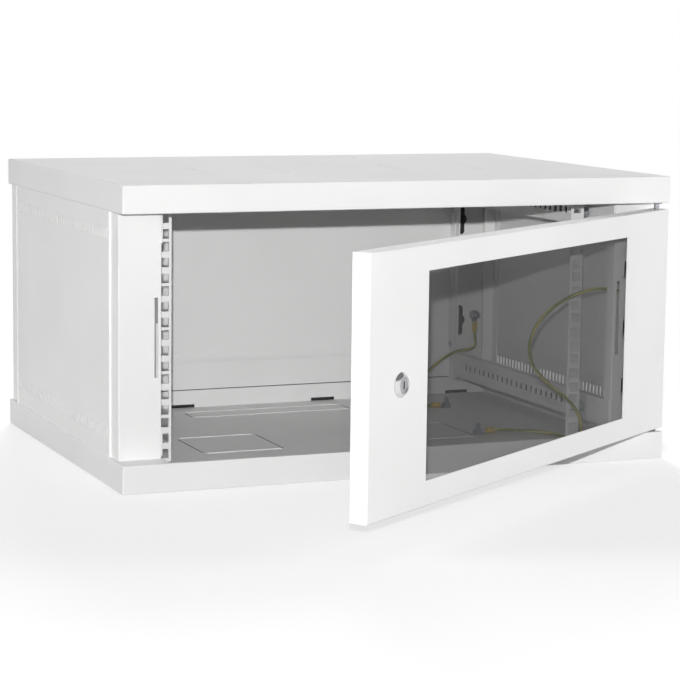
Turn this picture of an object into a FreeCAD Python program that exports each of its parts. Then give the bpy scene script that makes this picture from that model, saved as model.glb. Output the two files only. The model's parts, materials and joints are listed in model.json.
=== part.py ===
import FreeCAD, Part
import math
import os

import Sketcher
from FreeCAD import Placement, Rotation, Vector

# Wall cabinet for 19 inch equipment: two folded trays joined by posts and depth rails,
# a glazed door on vertical pins, and earth leads inside.
# Frame: millimetres, X to the right, Y from the door to the wall, Z up,
# origin at the middle of the footprint, on the underside.

doc = FreeCAD.newDocument("wall_cabinet")
dim = doc.addObject("Spreadsheet::Sheet", "dim")

sizes = {
    # Casing
    "width": 600,
    "depth": 430,
    "height": 300,
    "sheet": 1.5,
    "skin": 1.2,
    "bend": 1.2,
    "tray_wall": 28,
    "tray_lip": 4,
    "floor_rise": 4.2,
    "plate_margin": 1.5,
    # Knock-out panels, each held by webs between four slits
    "knockout_offset": 113.4,
    "knockout_width": 90,
    "knockout_depth": 91,
    "knockout_setback": 150,
    "rear_knockout_width": 195,
    "rear_knockout_depth": 33,
    "rear_knockout_setback": 34,
    "slit": 2,
    "slit_web": 3,
    # The knock-outs and foot slots of the base stand a little left of its middle
    "base_shift": -5,
    # Slots at the foot of the rear wall
    "foot_slot_pitch": 177.4,
    "foot_slot_length": 30,
    "foot_slot_height": 4,
    # Front posts
    "post_setback": 28,
    "post_inset": 4.5,
    "post_width": 44,
    "post_side": 40,
    "post_lip": 15,
    "post_slot_edge": 5.4,
    "post_slot_width": 3.6,
    "post_slot_length": 79,
    "lip_notch": 34,
    "post_screw_tail": 2,
    # Rear posts and their wall keyholes
    "rear_side": 30,
    "rear_leg": 21,
    "rear_lip": 14,
    "keyhole_inset": 36,
    "keyhole_height": 158,
    "keyhole_spacing": 124,
    "keyhole_length": 37,
    "keyhole_slot_radius": 4,
    "keyhole_radius": 7,
    # Side panels and their vents
    "panel_setback": 52,
    "panel_rear_gap": 28,
    "panel_hem": 12,
    "panel_rib": 4,
    "panel_rib_rise": 1.5,
    "vent_width": 3,
    "vent_length": 11,
    "vent_pitch": 8,
    "vent_edge": 7,
    "vent_row": 23,
    # Rear panel
    "panel_return": 12,
    "band_height": 31.2,
    "band_bend": 16.3,
    "panel_fit": 0.2,
    "panel_screw_radius": 2,
    "panel_screw_head": 4,
    "panel_screw_end": 40,
    # Depth rails
    "rail_lift": 2,
    "depth_rail_height": 29,
    "depth_rail_flange": 8,
    "depth_rail_fit": 2,
    "web_slot_width": 5.6,
    "web_slot_length": 7,
    "web_slot_pitch": 12.2,
    # 19 inch rails
    "unit_height": 44.45,
    "unit_count": 6,
    "unit_hole_low": 6.35,
    "unit_hole_step": 15.875,
    "square_hole": 9.5,
    "hole_edge": 8.45,
    "rail_setback": 77,
    "rail_face": 16,
    "rail_leg": 22,
    "rail_sheet": 2,
    "rail_bend": 1.8,
    "rail_margin": 2,
    # Rail fixings
    "bolt_radius": 2.5,
    "bolt_hex": 4.6,
    "bolt_head": 3.5,
    "bolt_tail": 1.5,
    "nut_height": 4,
    "spacer_radius": 6,
    "spacer_length": 9,
    "thread_gap": 0.05,
    # Door
    "door_angle": 34.94,
    "door_side_gap": 0.5,
    "door_low_gap": 3.5,
    "door_high_gap": 7,
    "door_depth": 18,
    "door_lip": 12,
    "door_bend": 1.1,
    "stile": 98,
    "door_rail": 23,
    "glass": 4,
    "glass_lap": 15,
    "glass_lap_low": 12,
    "seal": 1,
    "seal_width": 9,
    # Glass clips
    "clip_width": 14,
    "clip_foot": 11,
    "clip_reach": 9,
    "clip_step": 0.6,
    "clip_end": 45,
    "clip_stud_radius": 2,
    "clip_stud_edge": 5.5,
    "clip_nut_hex": 4.04,
    "clip_nut_height": 3.2,
    "clip_stud_tail": 1.2,
    # Hinges
    "hinge_inset": 10,
    "pin_radius": 3,
    "pin_gap": 0.05,
    "pin_collar": 5,
    "pin_end": 3,
    "pin_tail": 14,
    "pin_tail_radius": 2.4,
    "bush_radius": 4.2,
    "bush_flange_radius": 6,
    "bush_flange": 1,
    "bush_tail": 1,
    "bearing_gap": 0.1,
    "bracket_height": 30,
    "bracket_width": 17,
    "bracket_reach": 13.8,
    "bracket_drop": 6,
    "collar_height": 3,
    "spring_radius": 4.3,
    "spring_wire": 0.5,
    "spring_turns": 6,
    # Lock
    "lock_edge": 53,
    "lock_drop": 1.9,
    "lock_head": 3.6,
    "lock_head_radius": 11.3,
    "lock_face_radius": 8.1,
    "lock_rim": 0.5,
    "lock_barrel_radius": 9.5,
    "lock_length": 20,
    "lock_bore": 6,
    "lock_fit": 0.1,
    "lock_nut_hex": 13.3,
    "lock_nut_height": 5,
    "plug_recess": 0.5,
    "keyway_width": 2,
    "keyway_height": 7,
    "keyway_depth": 8,
    "tail_square": 6,
    "cam_sheet": 2,
    "cam_width": 10,
    "cam_length": 36,
    "cam_gap": 1,
    "cam_screw_head": 4.4,
    "cam_screw_height": 2.4,
    "cam_screw_radius": 1.5,
    "cam_screw_length": 8,
    # Earthing
    "earth_radius": 3,
    "earth_length": 12,
    "earth_hex": 5.77,
    "earth_nut": 5,
    "lug_radius": 6,
    "lug_hole": 3.2,
    "lug_sheet": 1,
    "lug_neck": 5,
    "lug_barrel": 2.6,
    "lug_barrel_start": 8,
    "lug_reach": 16,
    "sleeve_radius": 3.2,
    "sleeve_lift": 0.3,
    "sleeve_tail": 4,
    "lead_radius": 1.8,
    "rear_stud_inset": 17,
    "rear_stud_height": 102,
    "floor_stud_offset": 204,
    "floor_stud_setback": 336,
    "side_stud_setback": 58,
    "side_stud_height": 132,
    "front_stud_offset": 161,
    "front_stud_setback": 163,
}
for row, (name, value) in enumerate(sizes.items(), start=1):
    dim.set(f"A{row}", str(value))
    dim.setAlias(f"A{row}", name)
doc.recompute()

# Places, as expressions of the sheet. X places are distances from the middle plane.
side = "(dim.width / 2)"
front = "(-dim.depth / 2)"
rear = "(dim.depth / 2)"
roof_low = "(dim.height - dim.tray_wall)"
floor_top = "(dim.floor_rise + dim.sheet)"
wall_x = f"({side} - dim.sheet)"
wall_front = f"({front} + dim.sheet)"
wall_rear = f"({rear} - dim.sheet)"

post_outer = f"({side} - dim.post_inset)"
post_inner = f"({post_outer} - dim.post_width)"
post_front = f"({front} + dim.post_setback)"
post_back = f"({post_front} + dim.post_side)"
lip_back = f"({post_front} + dim.post_lip)"
rear_post_front = f"({rear} - dim.rear_side)"
rear_leg_front = f"({rear} - dim.rear_leg)"

panel_front = f"({front} + dim.panel_setback)"
panel_rear = f"({rear} - dim.panel_rear_gap)"
panel_outer = f"({post_outer} + 2 * dim.skin)"
screw_y = f"({rear} - dim.panel_return / 2)"
screw_heights = ("(dim.tray_wall + dim.panel_screw_end)", f"({roof_low} - dim.panel_screw_end)")

web_outer = post_inner
web_inner = f"({post_inner} - dim.sheet)"
web_front = f"({post_front} + dim.sheet)"
web_rear = f"({rear} - dim.panel_return - dim.depth_rail_fit)"
flange_front = f"({lip_back} + dim.depth_rail_fit)"
flange_rear = f"({rear_post_front} - dim.depth_rail_fit)"
lower_rail = "(dim.tray_wall + dim.rail_lift)"
upper_rail = f"({roof_low} - dim.rail_lift - dim.depth_rail_height)"

rail_outer = f"({web_inner} - dim.spacer_length)"
rail_inner = f"({rail_outer} - dim.rail_face)"
hole_column = f"({rail_outer} - dim.hole_edge)"
rail_front = f"({front} + dim.rail_setback)"
leg_rear = f"({rail_front} + dim.rail_leg)"
bolt_place = f"(({rail_front} + {leg_rear}) / 2)"
unit_low = "((dim.height - dim.unit_count * dim.unit_height) / 2)"
lower_bolt = f"({lower_rail} + dim.depth_rail_height / 2)"
upper_bolt = f"({upper_rail} + dim.depth_rail_height / 2)"

hinge_x = f"({side} - dim.hinge_inset)"
hinge_y = f"({front} + dim.hinge_inset)"

# Door places are measured from the hinge axis, with the door shut.
door_face = "(-dim.hinge_inset)"
door_inside = f"({door_face} + dim.skin)"
door_back = f"({door_face} + dim.door_depth)"
door_right = "(dim.hinge_inset - dim.door_side_gap)"
door_left = "(dim.hinge_inset + dim.door_side_gap - dim.width)"
door_low = "(dim.tray_wall + dim.door_low_gap)"
door_high = f"({roof_low} - dim.door_high_gap)"
window_left = f"({door_left} + dim.stile)"
window_right = f"({door_right} - dim.stile)"
window_low = f"({door_low} + dim.door_rail)"
window_high = f"({door_high} - dim.door_rail)"
glass_face = f"({door_inside} + dim.seal)"
glass_back = f"({glass_face} + dim.glass)"
lock_place = f"({door_left} + dim.lock_edge)"
door_middle = f"(({door_low} + {door_high}) / 2)"
lock_height = f"({door_middle} - dim.lock_drop)"
lock_end = f"({door_face} + dim.lock_length)"
cam_face = f"({door_face} + dim.post_setback + dim.sheet + dim.cam_gap)"
cam_back = f"({cam_face} + dim.cam_sheet)"
upper_bracket = f"({door_high} - dim.skin - dim.bracket_drop - dim.bracket_height)"
lower_bracket = f"({door_low} + dim.skin)"
collar_low = f"({upper_bracket} + dim.bracket_height - dim.sheet - dim.bearing_gap - dim.collar_height)"


def number(expression):
    return float(dim.evalExpression(expression))


def datum(body, role):
    return next(item for item in body.Origin.OriginFeatures if item.Role == role)


def new_body(label):
    body = doc.addObject("PartDesign::Body", label)
    body.Label = label
    return body


def new_sketch(body, plane, height):
    """A sketch on a datum plane, moved along its normal. The XZ plane's normal is -Y."""
    sketch = body.newObject("Sketcher::SketchObject", f"{body.Label}_sketch")
    sketch.AttachmentSupport = (datum(body, plane), [""])
    sketch.MapMode = "FlatFace"
    sketch.setExpression("AttachmentOffset.Base.z", height)
    return sketch


def bind(sketch, kind, *place):
    """One constraint, the last item of which is an expression."""
    index = sketch.addConstraint(Sketcher.Constraint(kind, *place[:-1], number(place[-1])))
    sketch.setExpression(f"Constraints[{index}]", place[-1])


def fix_point(sketch, shape, point, x, y):
    bind(sketch, "DistanceX", -1, 1, shape, point, x)
    bind(sketch, "DistanceY", -1, 1, shape, point, y)


def polygon(sketch, corners):
    places = [Vector(number(x), number(y), 0) for x, y in corners]
    first = sketch.GeometryCount
    count = len(corners)
    for index in range(count):
        sketch.addGeometry(Part.LineSegment(places[index], places[(index + 1) % count]))
    for index, (x, y) in enumerate(corners):
        following = first + (index + 1) % count
        sketch.addConstraint(Sketcher.Constraint("Coincident", first + index, 2, following, 1))
        fix_point(sketch, first + index, 1, x, y)


def rectangle(sketch, left, right, low, high):
    polygon(sketch, [(left, low), (right, low), (right, high), (left, high)])


def centred(sketch, x, y, width, height):
    across, up = f"{width} / 2", f"{height} / 2"
    rectangle(sketch, f"{x} - {across}", f"{x} + {across}", f"{y} - {up}", f"{y} + {up}")


def circle(sketch, x, y, radius):
    centre = Vector(number(x), number(y), 0)
    shape = sketch.addGeometry(Part.Circle(centre, Vector(0, 0, 1), number(radius)))
    fix_point(sketch, shape, 3, x, y)
    bind(sketch, "Radius", shape, radius)


def upright_slot(sketch, x, y, length, radius):
    """A slot with round ends, its long axis up the sketch."""
    reach = f"({length} / 2 - {radius})"
    size = number(radius)
    ends = []
    for sign, start in ((1, 0), (-1, math.pi)):
        height = f"{y} + {sign} * {reach}"
        centre = Vector(number(x), number(height), 0)
        ring = Part.Circle(centre, Vector(0, 0, 1), size)
        ends.append((sketch.addGeometry(Part.ArcOfCircle(ring, start, start + math.pi)), height, centre))
    (top, top_height, high), (foot, foot_height, low) = ends
    across = Vector(size, 0, 0)
    left = sketch.addGeometry(Part.LineSegment(high - across, low - across))
    right = sketch.addGeometry(Part.LineSegment(low + across, high + across))
    for joint in ((top, 2, left, 1), (left, 2, foot, 1), (foot, 2, right, 1), (right, 2, top, 1)):
        sketch.addConstraint(Sketcher.Constraint("Tangent", *joint))
    fix_point(sketch, top, 3, x, top_height)
    fix_point(sketch, foot, 3, x, foot_height)
    bind(sketch, "Radius", top, radius)


def pad(body, sketch, length, reverse=False):
    feature = body.newObject("PartDesign::Pad", f"{body.Label}_pad")
    feature.Profile = sketch
    feature.Reversed = reverse
    feature.setExpression("Length", length)
    return feature


def cut(body, sketch, length):
    """A pocket of this length, half of it on each side of the sketch."""
    feature = body.newObject("PartDesign::Pocket", f"{body.Label}_cut")
    feature.Profile = sketch
    feature.Midplane = True
    feature.setExpression("Length", length)
    return feature


def hollow(body, plane, low, high):
    """A sketch half way between two levels, and the length of a cut that reaches both."""
    return new_sketch(body, plane, f"({low} + {high}) / 2"), f"{high} - {low}"


def repeat(body, feature, axis, step, count):
    pattern = body.newObject("PartDesign::LinearPattern", f"{body.Label}_row")
    pattern.Originals = [feature]
    pattern.Direction = (datum(body, axis), [""])
    pattern.setExpression("Length", f"{step} * ({count} - 1)")
    pattern.setExpression("Occurrences", count)
    body.Tip = pattern
    return pattern


def revolve(body, corners):
    """A profile of radius and height, turned about the body's own axis."""
    sketch = new_sketch(body, "XY_Plane", "0")
    polygon(sketch, corners)
    feature = body.newObject("PartDesign::Revolution", f"{body.Label}_turned")
    feature.Profile = sketch
    feature.ReferenceAxis = (datum(body, "Y_Axis"), [""])
    feature.Angle = 360
    return feature


def near(a, b):
    return abs(a - b) < 1e-6


def round_edges(body, radius, wanted):
    """A fillet on the edges whose two ends pass the test."""
    doc.recompute()
    base = body.Tip
    names = []
    for index, edge in enumerate(base.Shape.Edges, start=1):
        ends = [vertex.Point for vertex in edge.Vertexes]
        if len(ends) == 2 and wanted(*ends):
            names.append(f"Edge{index}")
    feature = body.newObject("PartDesign::Fillet", f"{body.Label}_bends")
    feature.Base = (base, names)
    feature.setExpression("Radius", radius)
    body.Tip = feature


def upright_at(x, y):
    """A test for the upright edges at one place in plan."""
    return lambda *ends: all(near(end.x, number(x)) and near(end.y, number(y)) for end in ends)


def place(piece, x, y, z, turn=Rotation()):
    piece.Placement = Placement(Vector(number(x), number(y), number(z)), turn)
    for axis, expression in zip("xyz", (x, y, z)):
        piece.setExpression(f"Placement.Base.{axis}", expression)


def hang(piece):
    """Door pieces are modelled about the hinge axis and turned to the door's angle."""
    place(piece, hinge_x, hinge_y, "0", Rotation(Vector(0, 0, 1), number("dim.door_angle")))
    piece.setExpression("Placement.Rotation.Angle", "dim.door_angle * 1deg")


def set_lock(piece):
    """Lock pieces are modelled about the lock's own axis, which is their Y axis."""
    angle = "(dim.door_angle * 1deg)"
    x = f"{hinge_x} + {lock_place} * cos({angle})"
    y = f"{hinge_y} + {lock_place} * sin({angle})"
    place(piece, x, y, lock_height, Rotation(Vector(0, 0, 1), number("dim.door_angle")))
    piece.setExpression("Placement.Rotation.Angle", "dim.door_angle * 1deg")


def cylinder(radius, length):
    piece = doc.addObject("Part::Cylinder", "round_bar")
    piece.setExpression("Radius", radius)
    piece.setExpression("Height", length)
    return piece


def hexagon(reach, length):
    piece = doc.addObject("Part::Prism", "hexagon")
    piece.Polygon = 6
    piece.setExpression("Circumradius", reach)
    piece.setExpression("Height", length)
    return piece


def join(kind, base, tool):
    piece = doc.addObject(kind, "joined")
    piece.Base = base
    piece.Tool = tool
    return piece


def nut(reach, length, bore, seat="0"):
    block, hole = hexagon(reach, length), cylinder(bore, length)
    place(block, "0", "0", seat)
    place(hole, "0", "0", seat)
    return join("Part::Cut", block, hole)


def group(label, pieces):
    piece = doc.addObject("Part::Compound", label)
    piece.Label = label
    piece.Links = pieces
    return piece


parts = []


def keep(piece):
    parts.append(piece)
    return piece


def tray(label, rise, hinge_side, shift="0"):
    """A folded tray, open side up: plate, walls, turned-in lips and corner plates for the posts."""
    body = new_body(label)
    outline = new_sketch(body, "XY_Plane", "0")
    rectangle(outline, f"-{side}", side, front, rear)
    pad(body, outline, "dim.tray_wall")

    inside, length = hollow(body, "XY_Plane", f"({rise} + dim.sheet)", "(dim.tray_wall - dim.sheet)")
    rectangle(inside, f"-{wall_x}", wall_x, wall_front, wall_rear)
    cut(body, inside, length)

    plate_x = f"({post_inner} - dim.plate_margin)"
    plate_front = f"({post_back} + dim.plate_margin)"
    plate_rear = f"({rear_post_front} - dim.plate_margin)"
    lip_x = f"({side} - dim.tray_lip)"
    lip_front = f"({front} + dim.tray_lip)"
    lip_rear = f"({rear} - dim.tray_lip)"
    mouth = new_sketch(body, "XY_Plane", "dim.tray_wall")
    polygon(mouth, [
        (f"-{plate_x}", lip_front), (plate_x, lip_front), (plate_x, plate_front), (lip_x, plate_front),
        (lip_x, plate_rear), (plate_x, plate_rear), (plate_x, lip_rear), (f"-{plate_x}", lip_rear),
        (f"-{plate_x}", plate_rear), (f"-{lip_x}", plate_rear), (f"-{lip_x}", plate_front),
        (f"-{plate_x}", plate_front),
    ])
    cut(body, mouth, "3 * dim.sheet")

    slits = new_sketch(body, "XY_Plane", f"{rise} + dim.sheet / 2")
    front_middle = f"({front} + dim.knockout_setback + dim.knockout_depth / 2)"
    rear_middle = f"({rear} - dim.rear_knockout_setback - dim.rear_knockout_depth / 2)"
    for hand in (-1, 1):
        across = f"({shift} + {hand} * dim.knockout_offset)"
        knockout(slits, across, front_middle, "dim.knockout_width", "dim.knockout_depth")
    knockout(slits, shift, rear_middle, "dim.rear_knockout_width", "dim.rear_knockout_depth")
    cut(body, slits, "2 * dim.sheet")

    pin_hole = new_sketch(body, "XY_Plane", "dim.tray_wall - dim.sheet / 2")
    circle(pin_hole, f"{hinge_side} * {hinge_x}", hinge_y, "dim.bush_radius + dim.pin_gap")
    body.Tip = cut(body, pin_hole, "2 * dim.sheet")
    return body


def knockout(sketch, x, y, width, depth):
    """Four slits round a panel, with a web left at each corner."""
    for sign in (-1, 1):
        centred(sketch, f"({x} + {sign} * {width} / 2)", y, "dim.slit", f"({depth} - 2 * dim.slit_web)")
        centred(sketch, x, f"({y} + {sign} * {depth} / 2)", f"({width} - 2 * dim.slit_web)", "dim.slit")


def round_tray(body, raw_edge=None):
    """Bend radii on the outer corners, except round an edge that is left raw."""
    half_x, half_y = number(side), number(rear)

    def folded(*ends):
        outer = all(near(abs(end.x), half_x) and near(abs(end.y), half_y) for end in ends)
        return outer and not all(end.z == raw_edge for end in ends)

    round_edges(body, "dim.bend", folded)


base_tray = keep(tray("base_tray", "dim.floor_rise", 1, shift="dim.base_shift"))
recess = new_sketch(base_tray, "XY_Plane", "0")
rectangle(recess, f"-{wall_x}", wall_x, wall_front, wall_rear)
cut(base_tray, recess, "2 * dim.floor_rise")
foot_slots = new_sketch(base_tray, "XZ_Plane", f"-({rear} - dim.sheet / 2)")
for step in (-1.5, -0.5, 0.5, 1.5):
    middle = f"(dim.base_shift + {step} * dim.foot_slot_pitch)"
    level = f"({floor_top} + dim.foot_slot_height / 2)"
    centred(foot_slots, middle, level, "dim.foot_slot_length", "dim.foot_slot_height")
base_tray.Tip = cut(base_tray, foot_slots, "2 * dim.sheet")
round_tray(base_tray, raw_edge=0)

roof_tray = keep(tray("roof_tray", "0", -1))
round_tray(roof_tray)
place(roof_tray, "0", "0", "dim.height", Rotation(Vector(0, 1, 0), 180))


def front_post(label, sign):
    """A channel with a return lip; on the lock's side the lip is notched where the cam swings."""
    body = new_body(label)
    across = lambda expression: f"{sign} * {expression}"
    profile = new_sketch(body, "XY_Plane", "dim.tray_wall")
    polygon(profile, [
        (across(post_outer), post_back), (across(post_outer), post_front),
        (across(post_inner), post_front), (across(post_inner), lip_back),
        (across(f"({post_inner} + dim.sheet)"), lip_back),
        (across(f"({post_inner} + dim.sheet)"), f"{post_front} + dim.sheet"),
        (across(f"({post_outer} - dim.sheet)"), f"{post_front} + dim.sheet"),
        (across(f"({post_outer} - dim.sheet)"), post_back),
    ])
    pad(body, profile, "dim.height - 2 * dim.tray_wall")

    keeper = new_sketch(body, "XZ_Plane", f"-({post_front} + dim.sheet / 2)")
    middle = across(f"({post_inner} + dim.post_slot_edge)")
    centred(keeper, middle, door_middle, "dim.post_slot_width", "dim.post_slot_length")
    body.Tip = cut(body, keeper, "2 * dim.sheet")
    round_edges(body, "dim.bend", upright_at(across(post_outer), post_front))
    round_edges(body, "dim.bend", upright_at(across(post_inner), post_front))
    if sign < 0:
        notch = new_sketch(body, "YZ_Plane", across(f"({post_inner} + dim.sheet / 2)"))
        low = f"{lock_height} - dim.cam_length - dim.cam_width"
        high = f"{lock_height} + dim.lip_notch / 2"
        rectangle(notch, f"{post_front} + dim.sheet", f"{lip_back} + dim.sheet", low, high)
        body.Tip = cut(body, notch, "2 * dim.sheet")
    return body


def rear_post(label, sign):
    """A channel with two double keyholes in its rear flange; its leg takes the rear panel's screws."""
    body = new_body(label)
    across = lambda expression: f"{sign} * {expression}"
    profile = new_sketch(body, "XY_Plane", "dim.tray_wall")
    inner_face = across(f"({post_outer} - dim.sheet)")
    lip_end = across(f"({post_outer} - dim.rear_lip)")
    leg_face = across(f"({post_inner} + dim.sheet)")
    polygon(profile, [
        (across(post_inner), rear_leg_front), (across(post_inner), rear), (across(post_outer), rear),
        (across(post_outer), rear_post_front), (lip_end, rear_post_front),
        (lip_end, f"{rear_post_front} + dim.sheet"), (inner_face, f"{rear_post_front} + dim.sheet"),
        (inner_face, f"{rear} - dim.sheet"), (leg_face, f"{rear} - dim.sheet"), (leg_face, rear_leg_front),
    ])
    pad(body, profile, "dim.height - 2 * dim.tray_wall")

    middle = across(f"({side} - dim.keyhole_inset)")
    heights = [f"(dim.keyhole_height + {sign_z} * dim.keyhole_spacing / 2)" for sign_z in (-1, 1)]
    plane = f"-({rear} - dim.sheet / 2)"
    slots = new_sketch(body, "XZ_Plane", plane)
    for height in heights:
        upright_slot(slots, middle, height, "dim.keyhole_length", "dim.keyhole_slot_radius")
    cut(body, slots, "2 * dim.sheet")
    holes = new_sketch(body, "XZ_Plane", plane)
    for height in heights:
        circle(holes, middle, height, "dim.keyhole_radius")
    cut(body, holes, "2 * dim.sheet")
    threads = new_sketch(body, "YZ_Plane", across(f"({post_inner} + dim.sheet / 2)"))
    for height in screw_heights:
        circle(threads, screw_y, height, "dim.panel_screw_radius + dim.thread_gap")
    body.Tip = cut(body, threads, "2 * dim.sheet")
    round_edges(body, "dim.bend", upright_at(across(post_outer), rear_post_front))
    return body


def side_panel(label, sign):
    """A panel hemmed at both ends, with a rib at the rear one and a row of vents near each long edge."""
    body = new_body(label)
    across = lambda expression: f"{sign} * {expression}"
    field = across(f"({post_outer} + dim.skin)")
    rib_face = across(f"({panel_outer} + dim.panel_rib_rise)")
    rib_front = f"({panel_rear} - dim.panel_rib)"
    profile = new_sketch(body, "XY_Plane", "dim.tray_wall")
    polygon(profile, [
        (across(panel_outer), panel_front), (across(panel_outer), rib_front), (rib_face, rib_front),
        (rib_face, panel_rear), (across(post_outer), panel_rear),
        (across(post_outer), f"{panel_rear} - dim.panel_hem"), (field, f"{panel_rear} - dim.panel_hem"),
        (field, f"{panel_front} + dim.panel_hem"), (across(post_outer), f"{panel_front} + dim.panel_hem"),
        (across(post_outer), panel_front),
    ])
    pad(body, profile, "dim.height - 2 * dim.tray_wall")

    vents = new_sketch(body, "YZ_Plane", across(f"({post_outer} + dim.skin)"))
    first = f"({panel_front} + dim.vent_edge)"
    for height in ("(dim.tray_wall + dim.vent_row)", f"({roof_low} - dim.vent_row)"):
        centred(vents, first, height, "dim.vent_width", "dim.vent_length")
    pair = cut(body, vents, "4 * dim.skin")
    run = f"({rib_front} - {panel_front} - 2 * dim.vent_edge)"
    repeat(body, pair, "Y_Axis", "dim.vent_pitch", f"floor({run} / dim.vent_pitch) + 1")
    return body


def depth_rail(label, sign, low):
    """A channel from post to post: its slotted web laps their lips and its flanges point outwards."""
    body = new_body(label)
    across = lambda expression: f"{sign} * {expression}"
    high = f"({low} + dim.depth_rail_height)"
    tip = f"({web_outer} + dim.depth_rail_flange)"
    profile = new_sketch(body, "XZ_Plane", f"-{web_rear}")
    polygon(profile, [
        (across(web_inner), low), (across(tip), low), (across(tip), f"{low} + dim.sheet"),
        (across(web_outer), f"{low} + dim.sheet"), (across(web_outer), f"{high} - dim.sheet"),
        (across(tip), f"{high} - dim.sheet"), (across(tip), high), (across(web_inner), high),
    ])
    pad(body, profile, f"{web_rear} - {web_front}")

    trim, length = hollow(body, "XY_Plane", f"({low} - dim.sheet)", f"({high} + dim.sheet)")
    beyond = across(f"({tip} + dim.sheet)")
    rectangle(trim, across(web_outer), beyond, f"{web_front} - dim.sheet", flange_front)
    rectangle(trim, across(web_outer), beyond, flange_rear, f"{web_rear} + dim.sheet")
    cut(body, trim, length)

    slots = new_sketch(body, "YZ_Plane", across(f"({web_inner} + dim.sheet / 2)"))
    middle = f"({low} + dim.depth_rail_height / 2)"
    centred(slots, bolt_place, middle, "dim.web_slot_width", "dim.web_slot_length")
    slot = cut(body, slots, "2 * dim.sheet")
    run = f"({flange_rear} - dim.web_slot_pitch - {bolt_place})"
    repeat(body, slot, "Y_Axis", "dim.web_slot_pitch", f"floor({run} / dim.web_slot_pitch) + 1")
    return body


def rack_rail(label, sign):
    """An angle whose face carries three square holes in each unit; its leg points to the rear."""
    body = new_body(label)
    across = lambda expression: f"{sign} * {expression}"
    low = f"({unit_low} - dim.rail_margin)"
    leg_face = across(f"({rail_outer} - dim.rail_sheet)")
    back = f"({rail_front} + dim.rail_sheet)"
    profile = new_sketch(body, "XY_Plane", low)
    polygon(profile, [
        (across(rail_inner), rail_front), (across(rail_outer), rail_front), (across(rail_outer), leg_rear),
        (leg_face, leg_rear), (leg_face, back), (across(rail_inner), back),
    ])
    pad(body, profile, "dim.unit_count * dim.unit_height + 2 * dim.rail_margin")

    bolts = new_sketch(body, "YZ_Plane", across(f"({rail_outer} - dim.rail_sheet / 2)"))
    for height in (lower_bolt, upper_bolt):
        circle(bolts, bolt_place, height, "dim.bolt_radius + dim.thread_gap")
    cut(body, bolts, "2 * dim.rail_sheet")

    holes = new_sketch(body, "XZ_Plane", f"-({rail_front} + dim.rail_sheet / 2)")
    for step in range(3):
        height = f"({unit_low} + dim.unit_hole_low + {step} * dim.unit_hole_step)"
        centred(holes, across(hole_column), height, "dim.square_hole", "dim.square_hole")
    unit = cut(body, holes, "2 * dim.rail_sheet")
    repeat(body, unit, "Z_Axis", "dim.unit_height", "dim.unit_count")
    round_edges(body, "dim.rail_bend", upright_at(across(rail_outer), rail_front))
    return body


for hand, sign in (("left", -1), ("right", 1)):
    keep(front_post(f"front_post_{hand}", sign))
    keep(rear_post(f"rear_post_{hand}", sign))
    keep(side_panel(f"side_panel_{hand}", sign))
    keep(depth_rail(f"depth_rail_lower_{hand}", sign, lower_rail))
    keep(depth_rail(f"depth_rail_upper_{hand}", sign, upper_rail))
    keep(rack_rail(f"rack_rail_{hand}", sign))

# Rear panel: a sheet with a return along each post and a foot that an arc leads forward.
rear_panel = keep(new_body("rear_panel"))
panel_edge = f"({post_inner} - dim.panel_fit)"
panel_inner = f"({panel_edge} - dim.skin)"
return_front = f"({rear} - dim.panel_return)"
panel_face = f"({rear} - dim.skin)"
panel_profile = new_sketch(rear_panel, "XY_Plane", "dim.tray_wall")
polygon(panel_profile, [
    (f"-{panel_edge}", return_front), (f"-{panel_edge}", rear), (panel_edge, rear),
    (panel_edge, return_front), (panel_inner, return_front), (panel_inner, panel_face),
    (f"-{panel_inner}", panel_face), (f"-{panel_inner}", return_front),
])
pad(rear_panel, panel_profile, "dim.height - 2 * dim.tray_wall")
turns = [math.radians(degrees) for degrees in range(0, 50, 10)]
arc = []
for turn in reversed(turns):
    forward = f"({panel_face} - {1 - math.cos(turn):.5f} * dim.band_bend)"
    rise = math.sin(turns[-1]) - math.sin(turn)
    arc.append((forward, f"(dim.tray_wall + dim.band_height + {rise:.5f} * dim.band_bend)"))
arc_back = [(f"({forward} + dim.skin)", level) for forward, level in arc]
foot = new_sketch(rear_panel, "YZ_Plane", f"-{panel_inner}")
polygon(foot, [(rear, "dim.tray_wall"), (arc[0][0], "dim.tray_wall"), *arc, (rear, arc[-1][1])])
pad(rear_panel, foot, f"2 * {panel_inner}")
recess = new_sketch(rear_panel, "YZ_Plane", "0")
polygon(recess, [(rear, "dim.tray_wall"), (arc_back[0][0], "dim.tray_wall"), *arc_back])
cut(rear_panel, recess, f"2 * {panel_inner}")
screw_holes = new_sketch(rear_panel, "YZ_Plane", "0")
for height in screw_heights:
    circle(screw_holes, screw_y, height, "dim.panel_screw_radius + dim.thread_gap")
rear_panel.Tip = cut(rear_panel, screw_holes, "dim.width")

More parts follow.
